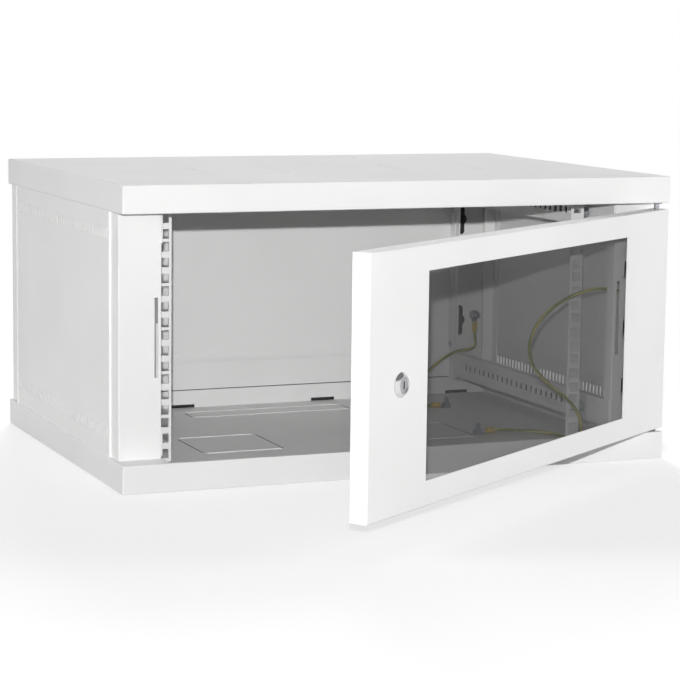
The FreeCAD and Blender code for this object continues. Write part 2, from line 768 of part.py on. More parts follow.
# Fixings that run across the cabinet, head on the inside
out_right = Rotation(Vector(0, 0, 1), Vector(1, 0, 0))
out_left = Rotation(Vector(0, 0, 1), Vector(-1, 0, 0))
spacers, bolts, nuts, panel_screws = [], [], [], []
bolt_seat = f"({rail_outer} - dim.rail_sheet)"
grip = f"({web_outer} - {bolt_seat})"
thread_hole = "dim.bolt_radius + dim.thread_gap"
screw_length = f"({post_inner} + dim.sheet + dim.post_screw_tail - {panel_inner})"
for sign, turn in ((-1, out_left), (1, out_right)):
    for height in (lower_bolt, upper_bolt):
        sleeve = cylinder("dim.spacer_radius", "dim.spacer_length")
        bore = cylinder(thread_hole, "dim.spacer_length")
        spacer = join("Part::Cut", sleeve, bore)
        place(spacer, f"{sign} * {rail_outer}", bolt_place, height, turn)
        spacers.append(spacer)

        shank = cylinder("dim.bolt_radius", f"{grip} + dim.nut_height + dim.bolt_tail")
        head = hexagon("dim.bolt_hex", "dim.bolt_head")
        place(head, "0", "0", "-dim.bolt_head")
        bolt = join("Part::Fuse", shank, head)
        place(bolt, f"{sign} * {bolt_seat}", bolt_place, height, turn)
        bolts.append(bolt)

        back_nut = nut("dim.bolt_hex", "dim.nut_height", thread_hole)
        place(back_nut, f"{sign} * {web_outer}", bolt_place, height, turn)
        nuts.append(back_nut)
    for height in screw_heights:
        shank = cylinder("dim.panel_screw_radius", screw_length)
        head = cylinder("dim.panel_screw_head", "dim.panel_screw_radius")
        place(head, "0", "0", "-dim.panel_screw_radius")
        screw = join("Part::Fuse", shank, head)
        place(screw, f"{sign} * {panel_inner}", screw_y, height, turn)
        panel_screws.append(screw)
keep(group("rail_spacers", spacers))
keep(group("rail_bolts", bolts))
keep(group("rail_nuts", nuts))
keep(group("rear_panel_screws", panel_screws))


def hinge_bush(label, level, turn):
    """A flanged bush: the flange faces the door and the barrel passes the corner plate."""
    body = new_body(label)
    bore = "dim.pin_radius + dim.pin_gap"
    foot = "-(dim.sheet + dim.bush_tail)"
    revolve(body, [
        (bore, foot), ("dim.bush_radius", foot), ("dim.bush_radius", "0"), ("dim.bush_flange_radius", "0"),
        ("dim.bush_flange_radius", "dim.bush_flange"), (bore, "dim.bush_flange"),
    ])
    place(body, hinge_x, hinge_y, level, turn)
    return body


keep(hinge_bush("hinge_bush_lower", "dim.tray_wall", Rotation(Vector(1, 0, 0), 90)))
keep(hinge_bush("hinge_bush_upper", roof_low, Rotation(Vector(1, 0, 0), -90)))

# Door leaf: a pan with turned-in lips on its two upright edges, a window and a hole for the lock
door = keep(new_body("door_frame"))
leaf = new_sketch(door, "XY_Plane", door_low)
rectangle(leaf, door_left, door_right, door_face, door_back)
pad(door, leaf, f"{door_high} - {door_low}")
pan_left, pan_right = f"({door_left} + dim.skin)", f"({door_right} - dim.skin)"
pan_low, pan_high = f"({door_low} + dim.skin)", f"({door_high} - dim.skin)"
pan, pan_length = hollow(door, "XZ_Plane", f"-({door_back} - dim.skin)", f"-{door_inside}")
rectangle(pan, pan_left, pan_right, pan_low, pan_high)
cut(door, pan, pan_length)
back_mouth = new_sketch(door, "XZ_Plane", f"-{door_back}")
rectangle(back_mouth, f"{door_left} + dim.door_lip", f"{door_right} - dim.door_lip", pan_low, pan_high)
cut(door, back_mouth, "3 * dim.skin")
openings = new_sketch(door, "XZ_Plane", f"-({door_face} + dim.skin / 2)")
rectangle(openings, window_left, window_right, window_low, window_high)
circle(openings, lock_place, lock_height, "dim.lock_barrel_radius + dim.lock_fit")
cut(door, openings, "2 * dim.skin")
pin_holes = new_sketch(door, "XY_Plane", door_middle)
circle(pin_holes, "0", "0", "dim.pin_radius + dim.pin_gap")
door.Tip = cut(door, pin_holes, "dim.height")


def on_front_edge(*ends):
    on_face = all(near(end.y, number(door_face)) for end in ends)
    at_side = all(near(end.x, number(door_left)) or near(end.x, number(door_right)) for end in ends)
    at_end = all(near(end.z, number(door_low)) or near(end.z, number(door_high)) for end in ends)
    return on_face and at_side and at_end


round_edges(door, "dim.door_bend", on_front_edge)
hang(door)

# Glass on its seal, behind the window
glass_left, glass_right = f"({window_left} - dim.glass_lap)", f"({window_right} + dim.glass_lap)"
glass_low, glass_high = f"({window_low} - dim.glass_lap_low)", f"({window_high} + dim.glass_lap_low)"
glass = keep(new_body("door_glass"))
pane = new_sketch(glass, "XZ_Plane", f"-{glass_face}")
rectangle(pane, glass_left, glass_right, glass_low, glass_high)
pad(glass, pane, "dim.glass", reverse=True)
hang(glass)

seal = keep(new_body("glass_seal"))
band = new_sketch(seal, "XZ_Plane", f"-{door_inside}")
rectangle(band, glass_left, glass_right, glass_low, glass_high)
rectangle(band, f"{glass_left} + dim.seal_width", f"{glass_right} - dim.seal_width",
          f"{glass_low} + dim.seal_width", f"{glass_high} - dim.seal_width")
pad(seal, band, "dim.seal", reverse=True)
hang(seal)


def clip(edge, sign, height):
    """A strip with its foot on the stile, stepped over the edge of the glass. sign points to the stile."""
    body = new_body("clip")
    across = lambda expression: f"({edge} + {sign} * {expression})"
    profile = new_sketch(body, "XY_Plane", f"{height} - dim.clip_width / 2")
    foot_end = across("(dim.clip_step + dim.skin + dim.clip_foot)")
    step_out, step_in = across("(dim.clip_step + dim.skin)"), across("dim.clip_step")
    tip = across("(-dim.clip_reach)")
    polygon(profile, [
        (foot_end, door_inside), (step_in, door_inside), (step_in, glass_back), (tip, glass_back),
        (tip, f"{glass_back} + dim.skin"), (step_out, f"{glass_back} + dim.skin"),
        (step_out, f"{door_inside} + dim.skin"), (foot_end, f"{door_inside} + dim.skin"),
    ])
    pad(body, profile, "dim.clip_width")
    hole = new_sketch(body, "XZ_Plane", f"-({door_inside} + dim.skin / 2)")
    circle(hole, across(stud_reach), height, "dim.clip_stud_radius + dim.thread_gap")
    body.Tip = cut(body, hole, "2 * dim.skin")
    return body


stud_reach = "(dim.clip_step + dim.skin + dim.clip_foot - dim.clip_stud_edge)"
clips, clip_studs, clip_nuts = [], [], []
inwards = Rotation(Vector(0, 0, 1), Vector(0, 1, 0))
glass_middle = f"(({glass_low} + {glass_high}) / 2)"
stud_length = "dim.skin + dim.clip_nut_height + dim.clip_stud_tail"
for edge, sign in ((glass_left, -1), (glass_right, 1)):
    for height in (f"({glass_low} + dim.clip_end)", glass_middle, f"({glass_high} - dim.clip_end)"):
        clips.append(clip(edge, sign, height))
        stud_x = f"{edge} + {sign} * {stud_reach}"
        stud = cylinder("dim.clip_stud_radius", stud_length)
        place(stud, stud_x, door_inside, height, inwards)
        clip_studs.append(stud)
        clip_nut = nut("dim.clip_nut_hex", "dim.clip_nut_height", "dim.clip_stud_radius + dim.thread_gap")
        place(clip_nut, stud_x, f"{door_inside} + dim.skin", height, inwards)
        clip_nuts.append(clip_nut)
hang(keep(group("glass_clips", clips)))
hang(keep(group("clip_studs", clip_studs)))
hang(keep(group("clip_nuts", clip_nuts)))


def hinge_bracket(label, low):
    """A bracket on the door's inside whose two arms carry a hinge pin."""
    body = new_body(label)
    high = f"({low} + dim.bracket_height)"
    tip = f"({door_inside} + dim.bracket_reach)"
    base = f"({door_inside} + dim.sheet)"
    right = f"({door_right} - dim.skin - dim.panel_fit)"
    profile = new_sketch(body, "YZ_Plane", f"{right} - dim.bracket_width")
    polygon(profile, [
        (door_inside, low), (tip, low), (tip, f"{low} + dim.sheet"), (base, f"{low} + dim.sheet"),
        (base, f"{high} - dim.sheet"), (tip, f"{high} - dim.sheet"), (tip, high), (door_inside, high),
    ])
    pad(body, profile, "dim.bracket_width")
    hole, length = hollow(body, "XY_Plane", f"({low} - dim.sheet)", f"({high} + dim.sheet)")
    circle(hole, "0", "0", "dim.pin_radius + dim.pin_gap")
    body.Tip = cut(body, hole, length)
    hang(body)
    return body


keep(hinge_bracket("hinge_bracket_lower", lower_bracket))
keep(hinge_bracket("hinge_bracket_upper", upper_bracket))


def stand(piece):
    """Turned pieces are drawn along Y; this stands them on the hinge axis, turned with the door."""
    upright = Rotation(Vector(0, 0, 1), number("dim.door_angle")) * Rotation(Vector(1, 0, 0), 90)
    place(piece, hinge_x, hinge_y, "0", upright)


lower_pin = keep(new_body("hinge_pin_lower"))
pin_foot = "(dim.tray_wall - dim.sheet - dim.bush_tail)"
collar_foot = "(dim.tray_wall + dim.bush_flange + dim.bearing_gap)"
pin_top = f"({lower_bracket} + dim.bracket_height + dim.pin_end)"
revolve(lower_pin, [
    ("0", pin_foot), ("dim.pin_radius", pin_foot), ("dim.pin_radius", collar_foot),
    ("dim.pin_collar", collar_foot), ("dim.pin_collar", door_low), ("dim.pin_radius", door_low),
    ("dim.pin_radius", pin_top), ("0", pin_top),
])
stand(lower_pin)

# The upper pin is sprung: its collar stops under the bracket's upper arm, and its tail pulls it down.
upper_pin = keep(new_body("hinge_pin_upper"))
pin_crown = f"({roof_low} + dim.sheet + dim.bush_tail)"
collar_high = f"({collar_low} + dim.collar_height)"
tail_height = f"({upper_bracket} - dim.pin_tail_radius - dim.pin_end)"
pin_low = f"({tail_height} - dim.pin_radius)"
revolve(upper_pin, [
    ("0", pin_low), ("dim.pin_radius", pin_low), ("dim.pin_radius", collar_low),
    ("dim.pin_collar", collar_low), ("dim.pin_collar", collar_high), ("dim.pin_radius", collar_high),
    ("dim.pin_radius", pin_crown), ("0", pin_crown),
])
tail = new_sketch(upper_pin, "YZ_Plane", "0")
circle(tail, tail_height, "0", "dim.pin_tail_radius")
upper_pin.Tip = pad(upper_pin, tail, "dim.pin_tail", reverse=True)
stand(upper_pin)

# Compression spring between the lower arm and the collar
spring_low = number(f"{upper_bracket} + dim.sheet + dim.spring_wire")
spring_high = number(f"{collar_low} - dim.spring_wire")
coil_radius = number("dim.spring_radius")
coil_height = spring_high - spring_low
helix = Part.makeHelix(coil_height / number("dim.spring_turns"), coil_height, coil_radius)
wire_ring = Part.makeCircle(number("dim.spring_wire"), Vector(coil_radius, 0, 0), Vector(0, 1, 0))
spring = keep(doc.addObject("Part::Feature", "hinge_spring"))
spring.Shape = Part.Wire(helix).makePipeShell([Part.Wire(wire_ring)], True, True)
place(spring, hinge_x, hinge_y, f"{upper_bracket} + dim.sheet + dim.spring_wire")

# Cam lock, drawn about its own axis
housing = keep(new_body("lock_housing"))
head_face = f"({door_face} - dim.lock_head)"
revolve(housing, [
    ("dim.lock_bore", head_face), ("dim.lock_face_radius", head_face),
    ("dim.lock_head_radius", f"{door_face} - dim.lock_rim"), ("dim.lock_head_radius", door_face),
    ("dim.lock_barrel_radius", door_face), ("dim.lock_barrel_radius", lock_end),
    ("dim.lock_bore", lock_end),
])
set_lock(housing)

lock_nut = keep(nut("dim.lock_nut_hex", "dim.lock_nut_height", "dim.lock_barrel_radius + dim.thread_gap"))
lock_nut.Label = "lock_nut"
angle = "(dim.door_angle * 1deg)"
nut_x = f"{hinge_x} + {lock_place} * cos({angle}) - {door_inside} * sin({angle})"
nut_y = f"{hinge_y} + {lock_place} * sin({angle}) + {door_inside} * cos({angle})"
place(lock_nut, nut_x, nut_y, lock_height, Rotation(Vector(0, 0, 1), number("dim.door_angle")) * inwards)

plug = keep(new_body("lock_plug"))
plug_radius = "(dim.lock_bore - dim.pin_gap)"
plug_face = f"({head_face} + dim.plug_recess)"
thread_end = f"({cam_back} - dim.cam_screw_length)"
screw_bore = "(dim.cam_screw_radius + dim.thread_gap)"
revolve(plug, [
    ("0", plug_face), (plug_radius, plug_face), (plug_radius, lock_end), ("0", lock_end),
])
plug_tail = new_sketch(plug, "XZ_Plane", f"-{lock_end}")
centred(plug_tail, "0", "0", "dim.tail_square", "dim.tail_square")
pad(plug, plug_tail, f"{cam_back} - {lock_end}", reverse=True)
keyway = new_sketch(plug, "XZ_Plane", f"-{plug_face}")
centred(keyway, "0", "0", "dim.keyway_width", "dim.keyway_height")
cut(plug, keyway, "2 * dim.keyway_depth")
thread_bore = new_sketch(plug, "XZ_Plane", f"-{cam_back}")
circle(thread_bore, "0", "0", screw_bore)
plug.Tip = cut(plug, thread_bore, "2 * dim.cam_screw_length")
set_lock(plug)

cam = keep(new_body("lock_cam"))
blade = new_sketch(cam, "XZ_Plane", f"-{cam_face}")
cam_span = "(dim.cam_length + dim.cam_width)"
upright_slot(blade, "0", "(-dim.cam_length / 2)", cam_span, "(dim.cam_width / 2)")
pad(cam, blade, "dim.cam_sheet", reverse=True)
square = new_sketch(cam, "XZ_Plane", f"-({cam_face} + dim.cam_sheet / 2)")
tail_hole = "(dim.tail_square + 2 * dim.thread_gap)"
centred(square, "0", "0", tail_hole, tail_hole)
cam.Tip = cut(cam, square, "2 * dim.cam_sheet")
set_lock(cam)

cam_screw = keep(new_body("cam_screw"))
head_back = f"({cam_back} + dim.cam_screw_height)"
revolve(cam_screw, [
    ("0", f"{thread_end} + dim.bearing_gap"), ("dim.cam_screw_radius", f"{thread_end} + dim.bearing_gap"),
    ("dim.cam_screw_radius", cam_back), ("dim.cam_screw_head", cam_back), ("dim.cam_screw_head", head_back),
    ("0", head_back),
])
set_lock(cam_screw)

# Earth studs with their lugs. A turn carries the lug's X axis along its barrel and its Z axis off the seat.
rear_seat = (f"{side} - dim.rear_stud_inset", f"{rear} - dim.sheet", "dim.rear_stud_height")
floor_seat = ("dim.floor_stud_offset", f"{front} + dim.floor_stud_setback", floor_top)
side_seat = (f"{post_outer} - dim.sheet", f"{front} + dim.side_stud_setback", "dim.side_stud_height")
front_seat = ("dim.front_stud_offset", f"{front} + dim.front_stud_setback", floor_top)
barrel_down = Rotation(Vector(0, 0, -1), Vector(), Vector(0, -1, 0), "ZXY")
barrel_left = Rotation(Vector(-1, 0, 0), Vector(), Vector(0, 0, 1), "ZXY")
barrel_up = Rotation(Vector(0, 0, 1), Vector(), Vector(-1, 0, 0), "ZXY")
barrel_right = Rotation()
along_barrel = Rotation(Vector(0, 1, 0), 90)
barrel_axis = "(dim.sleeve_radius + dim.sleeve_lift)"


def lug(seat, turn):
    """A ring terminal: eye, neck, riser and crimped barrel."""
    whole = cylinder("dim.lug_radius", "dim.lug_sheet")
    neck_start = "(dim.lug_hole + dim.lug_sheet)"
    riser_start = "(dim.lug_barrel_start - dim.lug_sheet)"
    for start, height in ((neck_start, "dim.lug_sheet"), (riser_start, barrel_axis)):
        plate = doc.addObject("Part::Box", "plate")
        plate.setExpression("Length", f"dim.lug_barrel_start - {start}")
        plate.setExpression("Width", "dim.lug_neck")
        plate.setExpression("Height", height)
        place(plate, start, "-dim.lug_neck / 2", "0")
        whole = join("Part::Fuse", whole, plate)
    barrel = cylinder("dim.lug_barrel", "dim.lug_reach - dim.lug_barrel_start")
    place(barrel, "dim.lug_barrel_start", "0", barrel_axis, along_barrel)
    whole = join("Part::Fuse", whole, barrel)
    piece = join("Part::Cut", whole, cylinder("dim.lug_hole", "dim.lug_sheet"))
    place(piece, *seat, turn)
    return piece


def sleeve(seat, turn):
    """The insulation over a lug's barrel and the start of its lead."""
    start = "(dim.lug_barrel_start + dim.lug_sheet / 2)"
    length = f"(dim.lug_reach + dim.sleeve_tail - {start})"
    bore = "dim.lug_barrel + dim.thread_gap"
    tubes = [cylinder(radius, length) for radius in ("dim.sleeve_radius", bore)]
    for tube in tubes:
        place(tube, start, "0", barrel_axis, along_barrel)
    piece = join("Part::Cut", *tubes)
    place(piece, *seat, turn)
    return piece


studs, earth_nuts = [], []
for seat, turn in ((rear_seat, barrel_down), (floor_seat, barrel_left), (side_seat, barrel_up),
                   (front_seat, barrel_right)):
    stud = cylinder("dim.earth_radius", "dim.earth_length")
    place(stud, *seat, turn)
    studs.append(stud)
    earth_thread = "dim.earth_radius + dim.thread_gap"
    earth_nut = nut("dim.earth_hex", "dim.earth_nut", earth_thread, seat="dim.lug_sheet")
    place(earth_nut, *seat, turn)
    earth_nuts.append(earth_nut)
keep(group("earth_studs", studs))
keep(group("earth_nuts", earth_nuts))
for hand, ends in (("rear", ((rear_seat, barrel_down), (floor_seat, barrel_left))),
                   ("side", ((side_seat, barrel_up), (front_seat, barrel_right)))):
    keep(group(f"earth_lugs_{hand}", [lug(seat, turn) for seat, turn in ends]))
    keep(group(f"earth_sleeves_{hand}", [sleeve(seat, turn) for seat, turn in ends]))

# Routes of the two free earth leads, from lug to lug
rear_route = [
    (283, 210, 86), (283, 210, 77), (282.5, 206, 69.5), (278.5, 199.5, 65), (270.5, 193.5, 63),
    (259.5, 188.5, 62.8), (247, 185, 62.4), (234, 182, 58.5), (220, 178.8, 51.5), (206.5, 175, 42.5),
    (193, 168.5, 32), (180.5, 160, 22.5), (170, 149, 14.2), (164.5, 137.5, 9.5), (165, 127.5, 8.2),
    (171.5, 121.6, 8.5), (179, 121, 9.2), (188, 121, 9.2),
]
side_route = [
    (290.5, -157, 148), (290.5, -157, 157), (286, -159.5, 166.5), (275.5, -163, 173), (261, -165.5, 176.5),
    (245, -166.2, 178), (227, -164.5, 175.5), (208, -160, 167), (190, -156, 154.5), (176, -154, 138),
    (169, -153.5, 118), (172, -154.5, 99), (184, -155.5, 83), (200, -156.5, 70), (216, -158.5, 58),
    (227, -160.5, 44), (232, -160, 30), (233.5, -153, 16.5), (234.5, -139, 9.1), (237, -119, 8.2),
    (237.5, -100, 8.1), (232, -82, 8.1), (222, -68, 8.2), (210, -58.5, 8.1), (198, -53.2, 8.4),
    (186.5, -52, 9.2), (177, -52, 9.2),
]


def lead(label, route):
    """A round tube along straight runs joined by arcs as large as the runs allow."""
    points = [Vector(*point) for point in route]
    radius = number("dim.lead_radius")
    edges, radii = [], []
    last = points[0]
    for before, corner, after in zip(points, points[1:], points[2:]):
        into, out = corner - before, after - corner
        shorter = min(into.Length, out.Length)
        turn = into.getAngle(out)
        setback = 0.45 * shorter
        arc = setback / math.tan(turn / 2)
        radii.append(arc)
        into.normalize()
        out.normalize()
        start, end = corner - into * setback, corner + out * setback
        half = (out - into).normalize() * (arc / math.cos(turn / 2) - arc)
        edges.append(Part.LineSegment(last, start).toShape())
        edges.append(Part.Arc(start, corner + half, end).toShape())
        last = end
    edges.append(Part.LineSegment(last, points[-1]).toShape())
    path = Part.Wire(edges)
    begin = (points[1] - points[0]).normalize()
    section = Part.Wire(Part.makeCircle(radius, points[0], begin))
    piece = doc.addObject("Part::Feature", label)
    piece.Shape = path.makePipeShell([section], True, False)
    expected = math.pi * radius ** 2 * path.Length
    print(f"{label}: length {path.Length:.1f}, smallest radius {min(radii):.1f}, radii",
          " ".join(f"{value:.0f}" for value in radii), f"volume ratio {piece.Shape.Volume / expected:.4f}")
    return piece


keep(lead("earth_lead_rear", rear_route))
keep(lead("earth_lead_side", side_route))

doc.recompute()
faults = [item.Label for item in doc.Objects if "Invalid" in item.State or "Error" in item.State]
faults += [piece.Label for piece in parts if piece.Shape.isNull() or not piece.Shape.isValid()]
if faults:
    raise RuntimeError(f"failed pieces: {faults}")

os.makedirs("parts", exist_ok=True)
for piece in parts:
    piece.Shape.exportStep(f"parts/{piece.Label}.step")
print(f"{len(parts)} parts written")
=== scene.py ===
import json
import math

import bmesh
import bpy
import numpy as np
from mathutils import Matrix, Vector


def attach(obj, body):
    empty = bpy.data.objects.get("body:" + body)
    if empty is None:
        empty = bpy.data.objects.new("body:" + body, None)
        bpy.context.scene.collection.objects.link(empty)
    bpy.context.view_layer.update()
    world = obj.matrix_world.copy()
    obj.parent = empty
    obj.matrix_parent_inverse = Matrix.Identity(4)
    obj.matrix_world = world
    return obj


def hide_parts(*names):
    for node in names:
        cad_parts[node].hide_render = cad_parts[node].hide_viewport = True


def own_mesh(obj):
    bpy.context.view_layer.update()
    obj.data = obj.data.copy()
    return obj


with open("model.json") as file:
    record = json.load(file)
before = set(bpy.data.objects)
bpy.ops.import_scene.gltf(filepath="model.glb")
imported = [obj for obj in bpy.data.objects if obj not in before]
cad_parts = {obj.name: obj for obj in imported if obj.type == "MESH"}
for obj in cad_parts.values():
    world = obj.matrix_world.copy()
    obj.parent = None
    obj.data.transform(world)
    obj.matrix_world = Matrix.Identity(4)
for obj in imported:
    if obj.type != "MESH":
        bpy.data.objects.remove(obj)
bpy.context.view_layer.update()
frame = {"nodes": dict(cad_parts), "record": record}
nodes = frame["nodes"]
scene = bpy.context.scene
scene.view_settings.view_transform = "Standard"
print("frame loaded,", len(nodes), "nodes")

mm = 0.001

# the photograph's view: place in metres, axes of the picture, focal length for a 36 mm sensor
cameraLook = {
    "place": (-0.9535, -2.316, 0.4571),
    "forward": (0.38250, 0.91375, -0.13694),
    "right": (0.92301, -0.38458, 0.01204),
    "lens": 122.09,
    "sensor": 36.0,
}


def setCamera(look):
    forward = np.array(look["forward"]) / np.linalg.norm(look["forward"])
    right = np.array(look["right"])
    right = right - forward * (right @ forward)
    right = right / np.linalg.norm(right)
    up = np.cross(right, forward)
    data = bpy.data.cameras.new("photoCamera")
    data.sensor_width = look["sensor"]
    data.lens = look["lens"]
    data.clip_start, data.clip_end = 0.05, 60.0
    camera = bpy.data.objects.new("photoCamera", data)
    turn = np.eye(4)
    turn[:3, 0], turn[:3, 1], turn[:3, 2], turn[:3, 3] = right, up, -forward, look["place"]
    camera.matrix_world = Matrix(turn.tolist())
    scene.collection.objects.link(camera)
    scene.camera = camera


setCamera(cameraLook)
print("camera set")


class Wire:
    # an output socket of a shader; sums and products of wires and numbers add Math nodes
    def __init__(self, tree, socket=None):
        self.tree = tree
        self.socket = socket

    # any node: its type, its settings first, then numbers or wires for its sockets
    def node(self, kind, settings={}, sockets={}, out=0):
        made = self.tree.nodes.new("ShaderNode" + kind)
        for name, value in settings.items():
            setattr(made, name, value)
        for name, value in sockets.items():
            if isinstance(value, Wire):
                self.tree.links.new(value.socket, made.inputs[name])
            else:
                made.inputs[name].default_value = value
        return Wire(self.tree, made.outputs[out] if made.outputs else None)

    def maths(self, operation, first, second):
        return self.node("Math", {"operation": operation}, {0: first, 1: second})

    def __add__(self, other):
        return self.maths("ADD", self, other)

    def __sub__(self, other):
        return self.maths("SUBTRACT", self, other)

    def __rsub__(self, other):
        return self.maths("SUBTRACT", other, self)

    def __mul__(self, other):
        return self.maths("MULTIPLY", self, other)

    __radd__ = __add__
    __rmul__ = __mul__

    # 0 below low, 1 above high, smooth between
    def rise(self, low, high):
        return self.node("MapRange", {"interpolation_type": "SMOOTHSTEP"},
                         {"Value": self, "From Min": low, "From Max": high})

    # colour a where this wire is 0, colour b where it is 1
    def blend(self, a, b):
        return self.node("Mix", {"data_type": "RGBA"}, {0: self, 6: a, 7: b}, 2)

    def noise(self, vector, size, detail=2.0, roughness=0.5):
        return self.node("TexNoise", {}, {"Vector": vector, "Scale": 1 / size, "Detail": detail,
                                          "Roughness": roughness})

    # object coordinates, stretched by a factor on each axis
    def place(self, stretch=(1, 1, 1)):
        spot = self.node("TexCoord", {}, {}, "Object")
        if stretch == (1, 1, 1):
            return spot
        return self.node("Mapping", {}, {"Vector": spot, "Scale": stretch})


def newFinish(name):
    material = bpy.data.materials.new(name)
    material.use_nodes = True
    material.node_tree.nodes.clear()
    return material, Wire(material.node_tree)


def surface(bench, sockets):
    shader = bench.node("BsdfPrincipled", {}, sockets)
    bench.node("OutputMaterial", {}, {"Surface": shader})


def colour(r, g, b):
    return (r, g, b, 1.0)


# sizes of the marks are in metres
# the crease colour is painted shade for slits and folds; reach is how far the occlusion looks for it
casingLook = {"pale": colour(0.81, 0.81, 0.807), "dull": colour(0.772, 0.772, 0.768),
              "edge": colour(0.60, 0.60, 0.595), "crease": colour(0.10, 0.10, 0.10), "peel": 0.0021,
              "grain": 0.0006, "cloud": 0.16, "roughness": 0.40,
              "relief": 0.00004, "bend": 0.00025, "reach": 0.003}
railLook = {"pale": colour(0.79, 0.79, 0.785), "dull": colour(0.74, 0.74, 0.735),
            "edge": colour(0.52, 0.52, 0.515), "crease": colour(0.10, 0.10, 0.10), "peel": 0.0018,
            "grain": 0.0005, "cloud": 0.08, "roughness": 0.36,
            "relief": 0.00004, "bend": 0.00025, "reach": 0.003}


def powderCoat(name, look):
    # orange peel and grain in the relief, slow clouds in the tone, thin coat on the edges,
    # painted shade in slits and folds, where ambient occlusion darkens the colour
    material, bench = newFinish(name)
    spot = bench.place()
    rounded = bench.node("Bevel", {"samples": 6}, {"Radius": look["bend"]})
    flat = bench.node("NewGeometry", {}, {}, "Normal")
    turned = bench.node("VectorMath", {"operation": "DOT_PRODUCT"}, {0: rounded, 1: flat}, "Value")
    cloud = bench.noise(spot, look["cloud"], 3.0)
    peel = bench.noise(spot, look["peel"], 2.0)
    grain = bench.noise(spot, look["grain"], 1.0)
    rub = bench.noise(bench.place((1.0, 1.0, 0.25)), 0.035, 4.0, 0.65).rise(0.55, 0.75)
    worn = (1 - turned).rise(0.02, 0.20) * bench.noise(spot, 0.012, 3.0).rise(0.42, 0.66)
    tone = cloud.rise(0.3, 0.7).blend(look["dull"], look["pale"])
    tone = (grain.rise(0.62, 0.80) * 0.25).blend(tone, look["dull"])
    tone = (worn * 0.5).blend(tone, look["edge"])
    # painted shade: ambient occlusion darkens the tone towards the crease colour in slits, holes and inner
    # folds
    clear = bench.node("AmbientOcclusion", {"samples": 4, "only_local": True},
                       {"Distance": look["reach"]}, "AO")
    tone = ((1 - clear.rise(0.15, 0.55)) * 0.8).blend(tone, look["crease"])
    height = peel * 0.7 + grain * 0.3
    relief = bench.node("Bump", {}, {"Strength": 0.8, "Distance": look["relief"], "Height": height,
                                     "Normal": rounded})
    surface(bench, {"Base Color": tone, "Normal": relief, "IOR": 1.5,
                    "Roughness": look["roughness"] + (peel - 0.5) * 0.14 + rub * 0.06 - worn * 0.05})
    return material


zincLook = {"bright": colour(0.66, 0.68, 0.71), "dark": colour(0.47, 0.49, 0.53),
            "spangle": 0.0016, "roughness": 0.30}
chromeLook = {"bright": colour(0.82, 0.82, 0.83), "dark": colour(0.70, 0.70, 0.72),
              "spangle": 0.004, "roughness": 0.10}
tinLook = {"bright": colour(0.74, 0.74, 0.72), "dark": colour(0.55, 0.55, 0.54),
           "spangle": 0.0022, "roughness": 0.30}
springLook = {"bright": colour(0.42, 0.42, 0.43), "dark": colour(0.25, 0.25, 0.26),
              "spangle": 0.0012, "roughness": 0.28}


# the lock's face is turned on a lathe: its axis in the model, and the pitch of the tool's rings
turnedLook = {"origin": (-0.1498, -0.5123, 0.14635), "axis": (0.57272, -0.81975, 0.0), "rings": 0.0005,
              "tone": colour(0.45, 0.45, 0.46), "roughness": 0.16, "relief": 0.00004}


def plating(name, look, turned=None):
    # crystals of the plating in the tone, fine scratches and stains in the roughness, rings on a turned face
    material, bench = newFinish(name)
    spot = bench.place()
    crystal = bench.node("TexVoronoi", {}, {"Vector": spot, "Scale": 1 / look["spangle"]}, "Color")
    shade = bench.node("SeparateColor", {}, {0: crystal}, 0)
    scratch = bench.noise(bench.place((0.2, 1.0, 1.0)), 0.0004, 2.0)
    stain = bench.noise(spot, 0.009, 3.0, 0.6)
    rounded = bench.node("Bevel", {"samples": 4}, {"Radius": 0.0003})
    tone = (shade * 0.5 + stain.rise(0.35, 0.7) * 0.5).blend(look["dark"], look["bright"])
    relief = bench.node("Bump", {}, {"Strength": 0.5, "Distance": 0.00001, "Height": scratch,
                                     "Normal": rounded})
    roughness = look["roughness"] + stain.rise(0.4, 0.75) * 0.14 + scratch * 0.06
    if turned:
        straight = bench.node("VectorMath", {"operation": "DOT_PRODUCT"},
                              {0: bench.node("TexCoord", {}, {}, "Normal"), 1: turned["axis"]}, "Value")
        face = straight.rise(0.96, 0.99)
        off = bench.node("VectorMath", {"operation": "SUBTRACT"}, {0: spot, 1: turned["origin"]})
        arm = bench.node("VectorMath", {"operation": "CROSS_PRODUCT"}, {0: off, 1: turned["axis"]})
        radius = bench.node("VectorMath", {"operation": "LENGTH"}, {0: arm}, "Value")
        wave = radius * (2 * math.pi / turned["rings"])
        rings = bench.node("Math", {"operation": "SINE"}, {0: wave}) * face
        tone = face.blend(tone, turned["tone"])
        roughness = roughness + face * turned["roughness"]
        relief = bench.node("Bump", {}, {"Strength": 0.6, "Distance": turned["relief"], "Height": rings,
                                         "Normal": relief})
    surface(bench, {"Base Color": tone, "Metallic": 1.0, "Normal": relief, "Roughness": roughness})
    return material


glassLook = {"tint": colour(0.022, 0.023, 0.024), "cover": 0.335, "roughness": 0.03, "gloss": 0.25}


def smokedGlass(name, look):
    # dark body colour that covers a share of each face; wipe marks only in the roughness
    material, bench = newFinish(name)
    wipe = bench.noise(bench.place((1.0, 1.0, 3.0)), 0.06, 4.0, 0.6)
    surface(bench, {"Base Color": look["tint"], "Alpha": look["cover"], "IOR": 1.5,
                    "Specular IOR Level": look["gloss"],
                    "Roughness": look["roughness"] + wipe.rise(0.5, 0.8) * 0.06})
    return material


rubberLook = {"light": colour(0.045, 0.045, 0.047), "dark": colour(0.022, 0.022, 0.023), "pore": 0.0007}
nylonLook = {"light": colour(0.15, 0.15, 0.155), "dark": colour(0.10, 0.10, 0.105), "pore": 0.0004}


